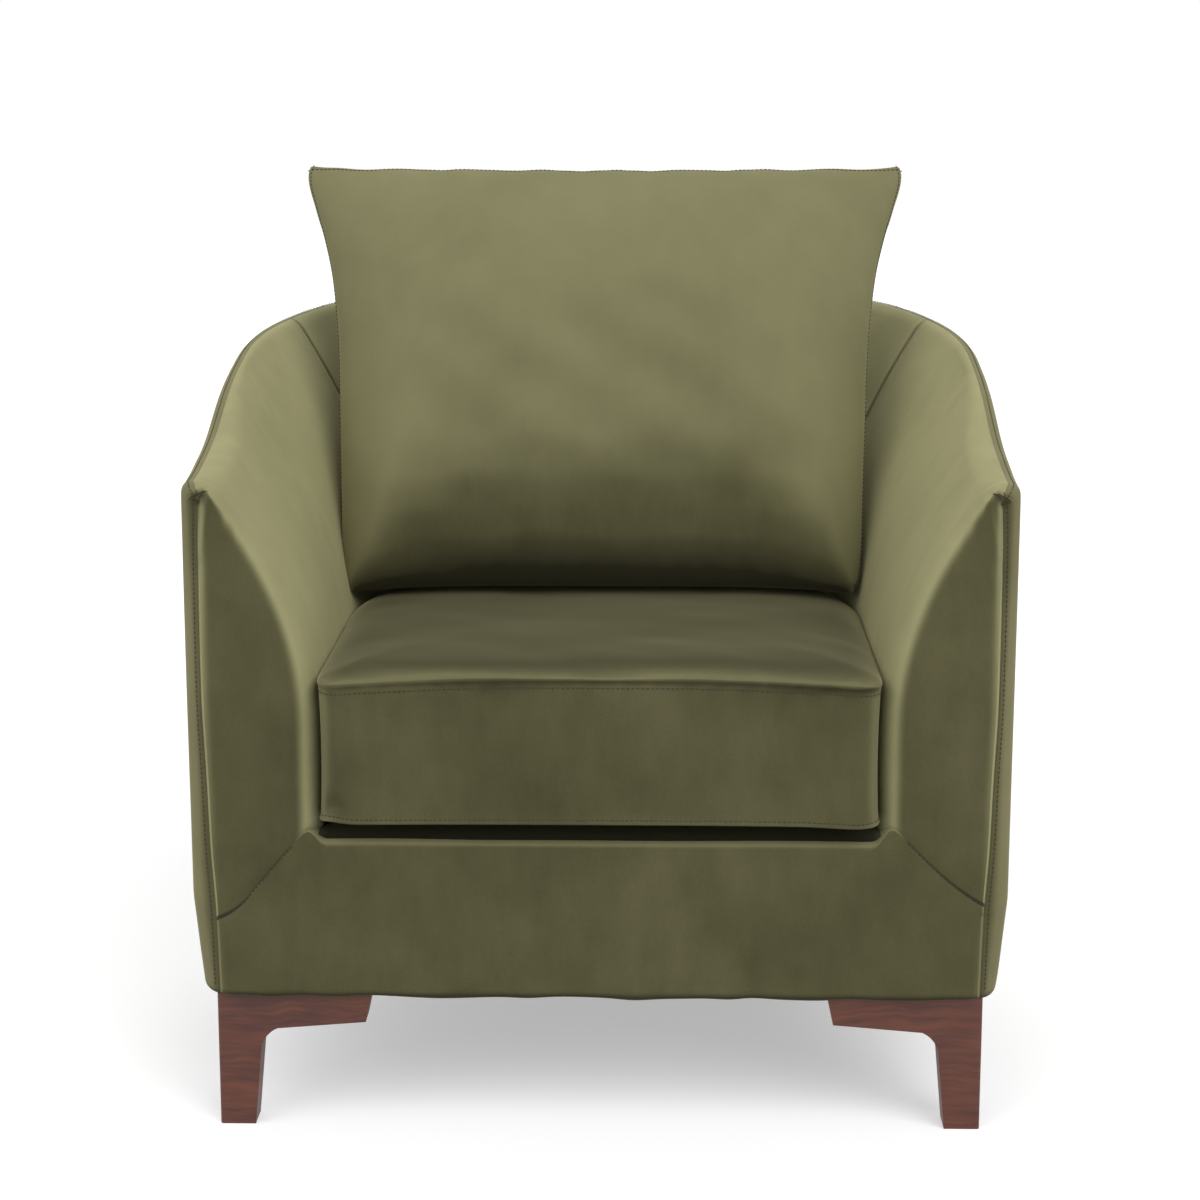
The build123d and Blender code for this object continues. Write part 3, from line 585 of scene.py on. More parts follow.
@dataclass(frozen=True)
class Weave:
    """Plain woven or bonded cloth. Threads cross at a fixed pitch and catch the light on their crowns."""

    dark: str
    light: str
    thread_mm: float
    roughness: float = 0.85
    strength: float = 0.5

    def build(self, name: str) -> bpy.types.Material:
        """Makes the material.

        Args:
            name: Name of the material.

        Returns:
            The material.
        """
        material, tree, place = start_material(name)
        bands = [
            add_node(
                tree,
                "ShaderNodeTexWave",
                {"Vector": place, "Scale": per_metre(self.thread_mm) / 20 * math.pi, "Distortion": 0.6, "Detail": 1.0},
                bands_direction=direction,
            )
            for direction in ("X", "Y", "Z")
        ]
        crossed = add_node(tree, "ShaderNodeMath", {0: bands[0].outputs[1], 1: bands[1].outputs[1]}, operation="MULTIPLY")
        height = add_node(tree, "ShaderNodeMath", {0: crossed.outputs[0], 1: bands[2].outputs[1]}, operation="ADD")
        tones = add_node(tree, "ShaderNodeValToRGB", {"Fac": height.outputs[0]})
        tones.color_ramp.elements[0].position, tones.color_ramp.elements[0].color = 0.1, linear(self.dark)
        tones.color_ramp.elements[1].position, tones.color_ramp.elements[1].color = 1.0, linear(self.light)
        bump = add_node(
            tree, "ShaderNodeBump", {"Strength": self.strength, "Distance": 0.0004, "Height": height.outputs[0]}
        )
        shader = add_node(
            tree,
            "ShaderNodeBsdfPrincipled",
            {"Base Color": tones.outputs[0], "Roughness": self.roughness, "IOR": 1.5, "Normal": bump.outputs[0]},
        )
        add_node(tree, "ShaderNodeOutputMaterial", {"Surface": shader.outputs[0]})
        return material


@dataclass(frozen=True)
class OpenCellFoam:
    """Cut polyurethane foam. Small open cells give a matt, faintly speckled face."""

    dark: str = "#c9b98a"
    light: str = "#e6dbb4"
    cell_mm: float = 2.0

    def build(self, name: str) -> bpy.types.Material:
        """Makes the material.

        Args:
            name: Name of the material.

        Returns:
            The material.
        """
        material, tree, place = start_material(name)
        cells = add_node(tree, "ShaderNodeTexVoronoi", {"Vector": place, "Scale": per_metre(self.cell_mm)})
        tones = add_node(tree, "ShaderNodeValToRGB", {"Fac": cells.outputs[0]})
        tones.color_ramp.elements[0].color, tones.color_ramp.elements[1].color = linear(self.dark), linear(self.light)
        bump = add_node(tree, "ShaderNodeBump", {"Strength": 0.4, "Distance": 0.0006, "Height": cells.outputs[0]})
        shader = add_node(
            tree,
            "ShaderNodeBsdfPrincipled",
            {"Base Color": tones.outputs[0], "Roughness": 0.95, "IOR": 1.5, "Normal": bump.outputs[0]},
        )
        add_node(tree, "ShaderNodeOutputMaterial", {"Surface": shader.outputs[0]})
        return material


@dataclass(frozen=True)
class WornMetal:
    """Stamped brass with an antique dip, or zinc-plated wire. It is rubbed bright in places and dull in others."""

    dark: str = "#5d4a28"
    light: str = "#a88a4c"

    def build(self, name: str) -> bpy.types.Material:
        """Makes the material.

        Args:
            name: Name of the material.

        Returns:
            The material.
        """
        material, tree, place = start_material(name)
        rub = add_node(tree, "ShaderNodeTexNoise", {"Vector": place, "Scale": per_metre(3.0), "Detail": 3.0})
        tones = add_node(tree, "ShaderNodeValToRGB", {"Fac": rub.outputs[0]})
        tones.color_ramp.elements[0].position, tones.color_ramp.elements[0].color = 0.35, linear(self.dark)
        tones.color_ramp.elements[1].position, tones.color_ramp.elements[1].color = 0.65, linear(self.light)
        dull = add_node(tree, "ShaderNodeMapRange", {"Value": rub.outputs[0], "To Min": 0.5, "To Max": 0.28})
        shader = add_node(
            tree,
            "ShaderNodeBsdfPrincipled",
            {"Base Color": tones.outputs[0], "Metallic": 1.0, "Roughness": dull.outputs[0]},
        )
        add_node(tree, "ShaderNodeOutputMaterial", {"Surface": shader.outputs[0]})
        return material


@dataclass
class Wardrobe:
    """All finishes of the chair, made once."""

    def __post_init__(self) -> None:
        """Builds every material."""
        self.velvet = Velvet().build("cotton_velvet_olive")
        # seat velvet: faces that turn up are painted darker as painted shade, and its front edge, turned half up,
        # lighter as painted highlight
        self.seat_velvet = Velvet(raised="#7f7c5b", painted_top_shade="#343221", lift=0.6, top_shade_share=0.9).build("cotton_velvet_olive_seat")
        # pillow velvet: its face, tilted up, is painted lighter as painted highlight
        self.pillow_velvet = Velvet(raised="#827f5d", turned=(1.0, 0.85), lift=1.0).build("cotton_velvet_olive_pillow")
        # outside velvet: faces turned aside are painted lighter as painted highlight
        self.outer_velvet = Velvet(raised="#85815f", lift=0.8).build("cotton_velvet_olive_outside")
        # painted shade: velvet painted near black for the deck and the apron's top, which lie in the seat cushion's
        # shadow
        self.painted_shade_velvet = Velvet(
            deep="#11100a", main="#16150d", stroked="#1c1b12", raised="#1c1b12", painted_underside_shade="#0a0906"
        ).build("cotton_velvet_olive_under_cushion")
        self.thread = Weave("#24221a", "#3a3826", 1.0, strength=0.3).build("polyester_thread_olive")
        self.foot = Timber("#3f1c15", "#62331f", 0.5, grain_mm=6.0, coat=0.04).build("stained_beech_reddish")
        self.rail = Timber("#a98457", "#d2b283", 0.75).build("sawn_pine")
        self.ply = Timber("#9d7a50", "#c8a473", 0.7, grain_mm=3.0).build("birch_plywood")
        self.board = Timber("#6b5138", "#8d6f50", 0.9, grain_mm=2.0, along=(0.5, 0.5, 0.5)).build("hardboard")
        self.foam = OpenCellFoam().build("polyurethane_foam")
        self.webbing = Weave("#1e1e20", "#4a4a4d", 3.0).build("elastic_webbing")
        self.dust = Weave("#0c0c0d", "#232326", 2.2, strength=0.4).build("bonded_polypropylene_black")
        self.tape = Weave("#34331f", "#55533a", 1.2).build("zip_tape_polyester")
        self.brass = WornMetal().build("antique_brass")
        self.steel = WornMetal("#6d6f72", "#a9acb0").build("zinc_plated_steel")


# ---------------------------------------------------------------- form of the body


@dataclass(frozen=True)
class TubForm:
    """The surfaces that all panels of the body follow, in millimetres."""

    half: float = 388.0
    hem_half: float = 379.0
    hem: float = 132.0
    turn: float = 225.0
    face: float = -374.0
    corner: float = 36.0
    ridge_line: float = -336.0  # where the inner arm starts to turn into the arm front
    ridge_width: float = 24.0
    well_half: float = 265.0
    well_centre: float = -76.0
    flare_start: float = 400.0
    seam_inset: float = 10.0
    lean: float = 13.0  # the arm front leans back this much at its top
    face_top: float = 600.0

    def outer(self, z: Grid) -> Grid:
        """Half width of the body at a height."""
        fall = np.clip((self.turn - z) / (self.turn - self.hem), 0, 1)
        return self.half - (self.half - self.hem_half) * fall

    def rim(self, y: Grid) -> Grid:
        """Height of the outer seam along the top of arms and back."""
        points = (
            (-345, 622.4), (-336, 622.6), (-300, 626.6), (-262, 633.6), (-225, 641), (-190, 651), (-150, 666),
            (-110, 680), (-60, 692.5), (4, 704), (68, 716), (143, 727.5), (230, 739), (388, 749),
        )
        return smooth_curve(points)(y)

    def lean_at(self, z: Grid) -> Grid:
        """How far the arm front leans back at a height."""
        return self.lean * ease((z - 400) / 215)

    def seam_x(self, z: Grid) -> Grid:
        """Place of the outer front seam at a height."""
        return smooth_curve(((132, 361), (214, 362), (279, 366), (347, 368), (424, 371), (556, 372), (613, 370)))(z)

    def mitre_height(self, x: Grid, side: Side) -> Grid:
        """Height of the seam between apron and arm front at a distance from the middle."""
        left = ((262, 305), (283, 285), (303, 263), (322, 240), (334, 225), (348, 214), (362, 207))
        right = ((262, 309), (287, 288), (306, 269), (330, 247), (349, 233), (362, 225))
        return smooth_curve(left if side is Side.LEFT else right)(x)

    def flare(self, z: Grid, back: Grid | float) -> Grid:
        """Distance of the well side from its middle line.

        Args:
            z: Heights.
            back: 0 at the arm front and 1 from the rounded back on.

        Returns:
            Half width of the well, or its radius round the back.
        """
        span = 228 + 62 * np.asarray(back)
        reach = 100 + 8 * np.asarray(back)
        return self.well_half + reach * (np.maximum(z - self.flare_start, 0) / span) ** 2

    def seam_reach(self, angle: Grid) -> Grid:
        """Distance of the top seam from the centre of the well's round back, in a direction."""
        radius = self.half - self.seam_inset
        c = -self.well_centre
        bent = c * np.sin(angle) + np.sqrt(radius**2 - (c * np.cos(angle)) ** 2)
        straight = radius / np.maximum(np.cos(angle), 0.1)
        return np.where(angle < math.atan2(c, radius), straight, bent)

    def nose(self, share: Grid) -> Grid:
        """Points of the seam over the arm's front corner, from its top in front (0) to the arm (1)."""
        stops = (0.0, 0.35, 0.75, 1.0)
        parts = ((370.2, 373.0, 377.0, 378.0), (-356.5, -353.0, -342.0, self.ridge_line), (611.0, 617.0, 622.3, 622.6))
        return np.stack([smooth_curve(tuple(zip(stops, p)))(share) for p in parts], axis=-1)

    def front_seam_top(self, t: Grid) -> Grid:
        """The last stretch of the front seam, from the arm front's top to the nose."""
        foot = np.array([float(self.seam_x(np.array(self.face_top))), 0.0, self.face_top])
        foot[1] = float(self.face_y(np.array(foot[0]), np.array(self.face_top)))
        tip = self.nose(np.array(0.0))
        return hermite(foot[None], np.array([[0.0, 1.0, 13.0]]), tip[None], np.array([[1.5, 8.0, 7.0]]), t[:, None])

    def face_y(self, x: Grid, z: Grid) -> Grid:
        """Depth of the arm front at a place: flat, then round the outer corner."""
        past = np.clip(x - (self.outer(z) - self.corner), 0, self.corner)
        return self.face + self.corner - np.sqrt(self.corner**2 - past**2) + self.lean_at(z)


FORM = TubForm()


def puff(distance: Grid, width: float = 5.0) -> Grid:
    """Share of the padding's height at a distance from a seam, 0 on the seam itself."""
    return 1 - np.exp(-((distance / width) ** 2))


def edge_distances(grid: Grid) -> tuple[Grid, Grid, Grid, Grid]:
    """Distances of a grid's points from its first and last row and column, along the surface.

    Args:
        grid: Points, rows by columns by 3.

    Returns:
        Distances from the first row, last row, first column and last column.
    """
    down = np.concatenate([np.zeros((1, grid.shape[1])), np.cumsum(np.linalg.norm(np.diff(grid, axis=0), axis=-1), axis=0)])
    across = np.concatenate(
        [np.zeros((grid.shape[0], 1)), np.cumsum(np.linalg.norm(np.diff(grid, axis=1), axis=-1), axis=1)], axis=1
    )
    return down, down[-1:] - down, across, across[:, -1:] - across


def line_inside(grid: Grid, distance: float, edge: Edge, lift: float = 0.4) -> Grid:
    """A line on a panel that runs along one of its borders.

    Args:
        grid: Points of the panel's outer face.
        distance: Distance from the border in millimetres.
        edge: The border.
        lift: Height above the face.

    Returns:
        Points of the line.
    """
    reach = edge_distances(grid)[edge.value]
    lifted = grid + normals_of(grid) * lift
    if edge in (Edge.LOW, Edge.TOP):
        reach, lifted = reach.T, lifted.transpose(1, 0, 2)
    if edge in (Edge.TOP, Edge.LAST):
        reach, lifted = reach[:, ::-1], lifted[:, ::-1]
    return np.array([[np.interp(distance, row, line[:, k]) for k in range(3)] for row, line in zip(reach, lifted)])


@dataclass(frozen=True)
class Repeater:
    """Sets one small shape again and again along paths, such as stitches, staples or zip teeth."""

    shape: Shape
    pitch: float  # distance from one to the next, in millimetres like the other sizes
    length: float
    width: float
    height: float

    def tree(self, finish: bpy.types.Material) -> bpy.types.NodeTree:
        """The node tree that places the shape.

        Args:
            finish: Material of the shape.

        Returns:
            Geometry node tree with named sizes.
        """
        tree = bpy.data.node_groups.new(f"{self.shape.value}_along_path", "GeometryNodeTree")
        tree.interface.new_socket("Geometry", in_out="INPUT", socket_type="NodeSocketGeometry")
        for size in ("Pitch", "Length", "Width", "Height"):
            tree.interface.new_socket(size, in_out="INPUT", socket_type="NodeSocketFloat")
        tree.interface.new_socket("Geometry", in_out="OUTPUT", socket_type="NodeSocketGeometry")
        given = add_node(tree, "NodeGroupInput").outputs
        curve = add_node(tree, "GeometryNodeMeshToCurve", {"Mesh": given["Geometry"]})
        spaced = add_node(
            tree, "GeometryNodeResampleCurve", {"Curve": curve.outputs[0], "Length": given["Pitch"]}, mode="LENGTH"
        )
        if self.shape is Shape.STITCH:
            seed = add_node(tree, "GeometryNodeMeshUVSphere", {"Segments": 6, "Rings": 4, "Radius": 0.5})
        else:
            seed = add_node(tree, "GeometryNodeMeshCube", {"Size": (1.0, 1.0, 1.0)})
        size = add_node(tree, "ShaderNodeCombineXYZ", {0: given["Length"], 1: given["Width"], 2: given["Height"]})
        along = add_node(tree, "GeometryNodeInputTangent")
        turn = add_node(tree, "FunctionNodeAlignRotationToVector", {"Vector": along.outputs[0]}, axis="X")
        placed = add_node(
            tree,
            "GeometryNodeInstanceOnPoints",
            {"Points": spaced.outputs[0], "Instance": seed.outputs[0], "Rotation": turn.outputs[0], "Scale": size.outputs[0]},
        )
        real = add_node(tree, "GeometryNodeRealizeInstances", {0: placed.outputs[0]})
        dressed = add_node(tree, "GeometryNodeSetMaterial", {"Geometry": real.outputs[0], "Material": finish})
        add_node(tree, "NodeGroupOutput", {"Geometry": dressed.outputs[0]})
        return tree

    def along(self, name: str, lines: list[Grid], finish: bpy.types.Material) -> bpy.types.Object:
        """Makes one plain mesh of the shape set along all lines.

        Args:
            name: Name of the piece.
            lines: Paths in millimetres.
            finish: Material of the shape.

        Returns:
            The piece.
        """
        mesh = bpy.data.meshes.new(name)
        start, edges = 0, []
        for line in lines:
            edges += [(start + k, start + k + 1) for k in range(len(line) - 1)]
            start += len(line)
        mesh.from_pydata((np.concatenate(lines) * MM).tolist(), edges, [])
        made = bpy.data.objects.new(name, mesh)
        bpy.context.scene.collection.objects.link(made)
        tree = self.tree(finish)
        modifier = made.modifiers.new("Repeat", "NODES")
        modifier.node_group = tree
        sizes = {"Pitch": self.pitch, "Length": self.length, "Width": self.width, "Height": self.height}
        for item in tree.interface.items_tree:
            if item.in_out == "INPUT" and item.name in sizes:
                modifier[item.identifier] = sizes[item.name] * MM
        graph = bpy.context.evaluated_depsgraph_get()
        result = bpy.data.meshes.new_from_object(made.evaluated_get(graph))
        made.modifiers.remove(modifier)
        made.data = result
        return made


@dataclass
class SeamBook:
    """Collects the lines to be stitched, by body, and sews them all."""

    wardrobe: Wardrobe
    lines: dict[Body, list[Grid]]
    thread: Repeater = Repeater(Shape.STITCH, pitch=4.6, length=3.4, width=1.0, height=1.0)

    def mark(self, body: Body, line: Grid) -> None:
        """Adds one line to sew."""
        self.lines.setdefault(body, []).append(line)

    def build(self) -> list[bpy.types.Object]:
        """Sews every marked line.

        Returns:
            One piece of stitching for each body.
        """
        pieces = []
        for body, lines in self.lines.items():
            piece = self.thread.along(f"stitches_{body.value}", lines, self.wardrobe.thread)
            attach(piece, body.value)
            pieces.append(piece)
        return pieces


@dataclass
class InsidePanels:
    """Arm fronts, inside arms and inside back: three padded panels that share their seams."""

    wardrobe: Wardrobe
    seams: SeamBook
    form: TubForm = FORM
    face_columns: int = 16
    ridge_columns: int = 9
    arm_columns: int = 44
    back_columns: int = 34  # from the arm to the middle of the back
    wall_rows: int = 58
    roll_rows: int = 9
    seam_column: int = 12  # back column where inside arm and inside back meet
    pad: float = 12.0

    def half_grid(self, side: Side) -> Grid:
        """One half of the inside surface, from the front seam to the middle of the back.

        Args:
            side: Which arm's seams it follows; the points are those of the right half.

        Returns:
            Points of the half.
        """
        form = self.form
        columns: list[Grid] = []
        rows = np.linspace(0, 1, self.wall_rows) ** 0.9
        roll = np.linspace(0, 1, self.roll_rows + 1)[1:, None]
        front_count = self.face_columns + self.ridge_columns
        for index in range(front_count):
            share = index / front_count
            end = form.nose(np.array(share))
            top = form.face_top + (8.0 * share)
            if index <= self.face_columns:
                across = index / self.face_columns
                low = self.low_of_face(across, side)
                z = low + (top - low) * rows
                start, stop = self.face_span(z)
                x = stop + (start - stop) * across
                wall = np.stack([x, form.face_y(x, z), z], axis=-1)
            else:
                turn = (index - self.face_columns) / self.ridge_columns * math.pi / 2
                down = float(ease((index - self.face_columns) / self.ridge_columns * 1.6))
                low = self.low_of_face(1.0, side) * (1 - down) + 286.0 * down
                z = low + (top - low) * rows
                start, _ = self.face_span(z)
                width = start - form.flare(z, 0.0)
                front = form.face + form.lean_at(z)
                x = form.flare(z, 0.0) + width * (1 - math.sin(turn))
                y = front + (form.ridge_line - front) * (1 - math.cos(turn))
                wall = np.stack([x, y, z], axis=-1)
            column = self.with_roll(wall, end, roll, outward=(0.75, 0.25), turned_over=float(ease(share / 0.6)))
            if index == 0:
                column[-self.roll_rows :] = form.front_seam_top(roll[:, 0])
            columns.append(column)
        for index in range(self.arm_columns + 1):
            back = index / self.arm_columns
            y = form.ridge_line + (form.well_centre - form.ridge_line) * back
            rim = float(form.rim(np.array(y)))
            low = 286.0
            z = low + (rim - 9 - low) * rows
            x = form.flare(z, back)
            wall = np.stack([x, np.full_like(z, y), z], axis=-1)
            end = np.array([form.half - form.seam_inset, y, rim])
            columns.append(self.with_roll(wall, end, roll, outward=(1.0, 0.0)))
        for index in range(1, self.back_columns + 1):
            angle = index / self.back_columns * math.pi / 2
            reach = float(form.seam_reach(np.array(angle)))
            direction = np.array([math.cos(angle), math.sin(angle)])
            end_plan = np.array([0, form.well_centre]) + reach * direction
            rim = float(form.rim(np.array(end_plan[1])))
            low = 286.0
            z = low + (rim - 9 - low) * rows
            radius = form.flare(z, 1.0)
            wall = np.stack([radius * direction[0], form.well_centre + radius * direction[1], z], axis=-1)
            end = np.array([end_plan[0], end_plan[1], rim])
            columns.append(self.with_roll(wall, end, roll, outward=tuple(direction)))
        return np.stack(columns, axis=1)

    def low_of_face(self, across: float, side: Side) -> float:
        """Height of the mitre seam for a column across the arm front, 0 at the outer seam."""
        z = 250.0
        for _ in range(12):
            start, stop = self.face_span(np.array([z]))
            x = float((stop + (start - stop) * across)[0])
            z = float(self.form.mitre_height(np.array(x), side))
        return z

    def face_span(self, z: Grid) -> tuple[Grid, Grid]:
        """Inner and outer limits of the flat arm front at a height."""
        inner = self.form.flare(z, 0.0)
        outer = self.form.seam_x(z)
        width = np.minimum(self.form.ridge_width, 0.55 * (outer - inner))
        return inner + width, outer

    def with_roll(
        self, wall: Grid, end: Grid, roll: Grid, outward: tuple[float, float], turned_over: float = 1.0
    ) -> Grid:
        """Adds the rounded top edge to a column, up to the outer seam.

        Args:
            wall: Points of the wall, from low to high.
            end: Point on the seam.
            roll: Shares of the way over the top.
            outward: Direction away from the well, in plan.
            turned_over: 1 where the edge rolls over, 0 where it runs on up along the front seam.

        Returns:
            The whole column.
        """
        reach = float(np.linalg.norm(end - wall[-1]))
        rising = wall[-1] - wall[-3]
        rising = rising / np.linalg.norm(rising) * reach * 0.95
        falling = np.array([outward[0], outward[1], -0.45]) * reach * 0.9
        falling = falling * turned_over + np.array([1.5, 8.0, 7.0]) * (1 - turned_over)
        return np.concatenate([wall, hermite(wall[-1][None], rising[None], end[None], falling[None], roll)])

    def shaped(self, grid: Grid, seed: int) -> Grid:
        """Puffs one panel between its seams and gives it its creases.

        Args:
            grid: The panel with its normals into the seat space.
            seed: Seed of the waves in the padding.

        Returns:
            The shaped panel.
        """
        normal = normals_of(grid)
        low, top, first, last = edge_distances(grid)
        on_face = ease((np.abs(grid[..., 0]) - 262) / 12) * ease((-330 - grid[..., 1]) / 12)
        low = low * on_face + 80 * (1 - on_face)
        edge = np.minimum(top, np.minimum(first, last))
        swell = 1.4 * puff(edge, 5.5) * (0.4 + 0.6 * puff(low, 16)) * puff(low, 2.5)
        swell += 0.9 * ripple(grid, 170, seed) * ease(np.minimum(edge, low) / 70)
        along_top = np.arctan2(grid[..., 1], grid[..., 0]) * 380
        pull = np.sin(along_top * 0.21 + 2.5 * ripple(grid, 90, seed + 3)) * np.clip(ripple(grid, 130, seed + 5) + 0.25, 0, 1)
        swell += 0.55 * pull * np.exp(-((top / 20) ** 2)) * ease(top / 6)
        return grid + normal * swell[..., None]

    def build(self) -> list[bpy.types.Object]:
        """Makes the three panels, with their columns turned so that their normals point into the seat space.

        Returns:
            The pieces.
        """
        half = self.half_grid(Side.RIGHT)
        split = self.face_columns + self.ridge_columns + self.arm_columns + self.seam_column
        right = half[:, : split + 1]
        left = mirrored(self.half_grid(Side.LEFT)[:, : split + 1])
        back = np.concatenate([half[:, split:], mirrored(half)[:, 1 : half.shape[1] - split]], axis=1)
        pieces = []
        for side, grid, seed in ((Side.RIGHT, right, 11), (Side.LEFT, left, 27)):
            shaped = self.arm_front_folds(self.shaped(grid[:, ::-1], seed), side)
            name = side.name.lower()
            mitre = line_inside(shaped, 1.2, Edge.LOW)
            on_face = (np.abs(mitre[:, 0]) > 264) & (mitre[:, 1] < -350)
            self.seams.mark(Body.CHAIR, mitre[on_face])
            piece = padded_panel(f"inside_arm_pad_{name}", shaped, self.pad)
            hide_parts(f"inside_arm_cover_{name}", f"arm_foam_{name}")
            pieces.append(piece)
        piece = padded_panel("inside_back_pad", self.shaped(back[:, ::-1], 41), self.pad)
        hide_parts("inside_back_cover", "back_foam_left", "back_foam_middle", "back_foam_right")
        pieces.append(piece)
        for piece in pieces:
            piece.data.materials.append(self.wardrobe.velvet)
            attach(piece, Body.CHAIR.value)
        return pieces

    def arm_front_folds(self, grid: Grid, side: Side) -> Grid:
        """Gathers under the nose of the arm front and the kink of the left mitre seam.

        Args:
            grid: The panel.
            side: Which arm.

        Returns:
            The panel with its folds.
        """
        normal = normals_of(grid)
        x, y, z = np.abs(grid[..., 0]), grid[..., 1], grid[..., 2]
        front = np.exp(-(np.clip(y + 350, 0, None) / 12) ** 2)
        gather = np.exp(-(((z - 585) / 26) ** 2)) * front
        fold = np.sin((x - 340) * 0.42 + (z - 600) * 0.12 + side.value) * 0.4 * gather * ease((370 - x) / 12)
        slack = -0.7 * np.exp(-(((z - 560 + 0.5 * (x - 350)) / 9) ** 2)) * front * np.exp(-(((x - 352) / 20) ** 2))
        amount = fold + slack
        if side is Side.LEFT:
            crease = (x - 330) * 0.55 + (z - 232) * 0.8
            amount += -1.0 * np.exp(-((crease / 5) ** 2)) * np.exp(-(((x - 332) / 16) ** 2)) * front
        return grid + normal * amount[..., None]


@dataclass
class OutsidePanels:
    """Outside arms and outside back: cloth drawn over the boards from the hem to the outer seam."""

    wardrobe: Wardrobe
    seams: SeamBook
    form: TubForm = FORM
    corner_columns: int = 8
    side_columns: int = 56
    back_columns: int = 104  # over the whole rounded back
    wall_rows: int = 70
    roll_rows: int = 6
    seam_y: float = 200.0
    turn_over: float = 9.0  # the cloth starts to turn in this far under the seam
    pad: float = 1.6

    def column(
        self,
        x_of: Callable[[Grid], Grid],
        y_of: Callable[[Grid], Grid],
        high: float,
        end: Grid,
        inward: Grid,
        turned_over: float = 1.0,
    ) -> Grid:
        """One column from under the hem up to the top seam.

        Args:
            x_of: Place across, by height.
            y_of: Depth, by height.
            high: Height where the wall starts to turn over.
            end: Point on the seam.
            inward: Direction into the chair, in plan.
            turned_over: 1 where the cloth turns in at the top, 0 where it runs on up along the front seam.

        Returns:
            The points.
        """
        form = self.form
        z = form.hem + 4.5 + (high - form.hem - 4.5) * np.linspace(0, 1, self.wall_rows)
        wall = np.stack([x_of(z), y_of(z), z], axis=-1)
        foot = wall[0]
        turn_in = np.array([*inward, 0.0])
        under = [foot + turn_in * 9 - [0, 0, 4.0], foot + turn_in * 4 - [0, 0, 4.2], foot + turn_in * 1.2 - [0, 0, 3.0]]
        roll = np.linspace(0, 1, self.roll_rows + 1)[1:, None]
        reach = max(float(np.linalg.norm(end - wall[-1])), 0.5)
        rising = np.array([0.0, 0.0, 1.0]) * reach * 1.3
        over = np.array([*inward, 0.35]) * reach * 0.9 * turned_over + np.array([1.5, 8.0, 7.0]) * (1 - turned_over)
        curve = hermite(wall[-1][None], rising[None], end[None], over[None], roll)
        return np.concatenate([np.stack(under), wall, curve])

    def half_grid(self) -> Grid:
        """The right half, from the front seam to the middle of the back."""
        form = self.form
        columns = []
        for index in range(self.corner_columns):
            share = index / self.corner_columns

            def angle_at(z: Grid, k: float = share) -> Grid:
                """Angle round the corner, from the seam's place on it."""
                start = np.arcsin(np.clip((form.seam_x(z) - form.outer(z) + form.corner) / form.corner, 0, 1))
                return start + (math.pi / 2 - start) * k

            def x_of(z: Grid) -> Grid:
                """Place across on the corner."""
                return form.outer(z) - form.corner + form.corner * np.sin(angle_at(z))

            def y_of(z: Grid, k: float = share) -> Grid:
                """Depth on the corner."""
                return form.face + form.corner - form.corner * np.cos(angle_at(z)) + form.lean_at(z) * (1 - k)

            turn = float(angle_at(np.array(500.0)))
            inward = np.array([-math.sin(turn), math.cos(turn)])
            high = form.face_top + 13 * share
            over = float(ease(share / 0.6))
            column = self.column(x_of, y_of, high, form.nose(np.array(share)), inward, over)
            if index == 0:
                column[-self.roll_rows :] = form.front_seam_top(np.linspace(0, 1, self.roll_rows + 1)[1:])
            columns.append(column)
        for index in range(self.side_columns + 1):
            y = form.face + form.corner + (0 - form.face - form.corner) * index / self.side_columns
            rim = float(form.rim(np.array(y)))
            end = np.array([form.half - form.seam_inset, max(y, form.ridge_line), rim])
            columns.append(
                self.column(
                    form.outer, lambda z, y=y: np.full_like(z, y), rim - self.turn_over, end, np.array([-1.0, 0.0])
                )
            )
        for index in range(1, self.back_columns // 2 + 1):
            angle = index / (self.back_columns // 2) * math.pi / 2
            plan = np.array([math.cos(angle), math.sin(angle)])
            rim = float(form.rim(np.array(plan[1] * form.half)))
            end = np.array([*(plan * (form.half - form.seam_inset)), rim])
            columns.append(
                self.column(
                    lambda z, p=plan: form.outer(z) * p[0],
                    lambda z, p=plan: form.outer(z) * p[1],
                    rim - self.turn_over,
                    end,
                    -plan,
                )
            )
        return np.stack(columns, axis=1)

    def shaped(self, grid: Grid, seed: int) -> Grid:
        """Lets the cloth stand proud between its seams and adds its faint waves.

        Args:
            grid: The panel with its normals outwards.
            seed: Seed of the waves.

        Returns:
            The shaped panel.
        """
        normal = normals_of(grid)
        _, top, first, last = edge_distances(grid)
        edge = np.minimum(top, np.minimum(first, last))
        swell = 1.3 * puff(edge, 4.0) + 0.5 * ripple(grid, 190, seed, (1, 1, 2.2)) * ease(edge / 50)
        along = np.arctan2(grid[..., 1], grid[..., 0]) * 388
        hem = np.exp(-((grid[..., 2] - 134) / 22).clip(0) ** 2)
        swell += 0.7 * hem * ease(edge / 20) * np.sin(along * 0.09 + 2 * ripple(grid, 120, seed + 1))
        return grid + normal * swell[..., None]

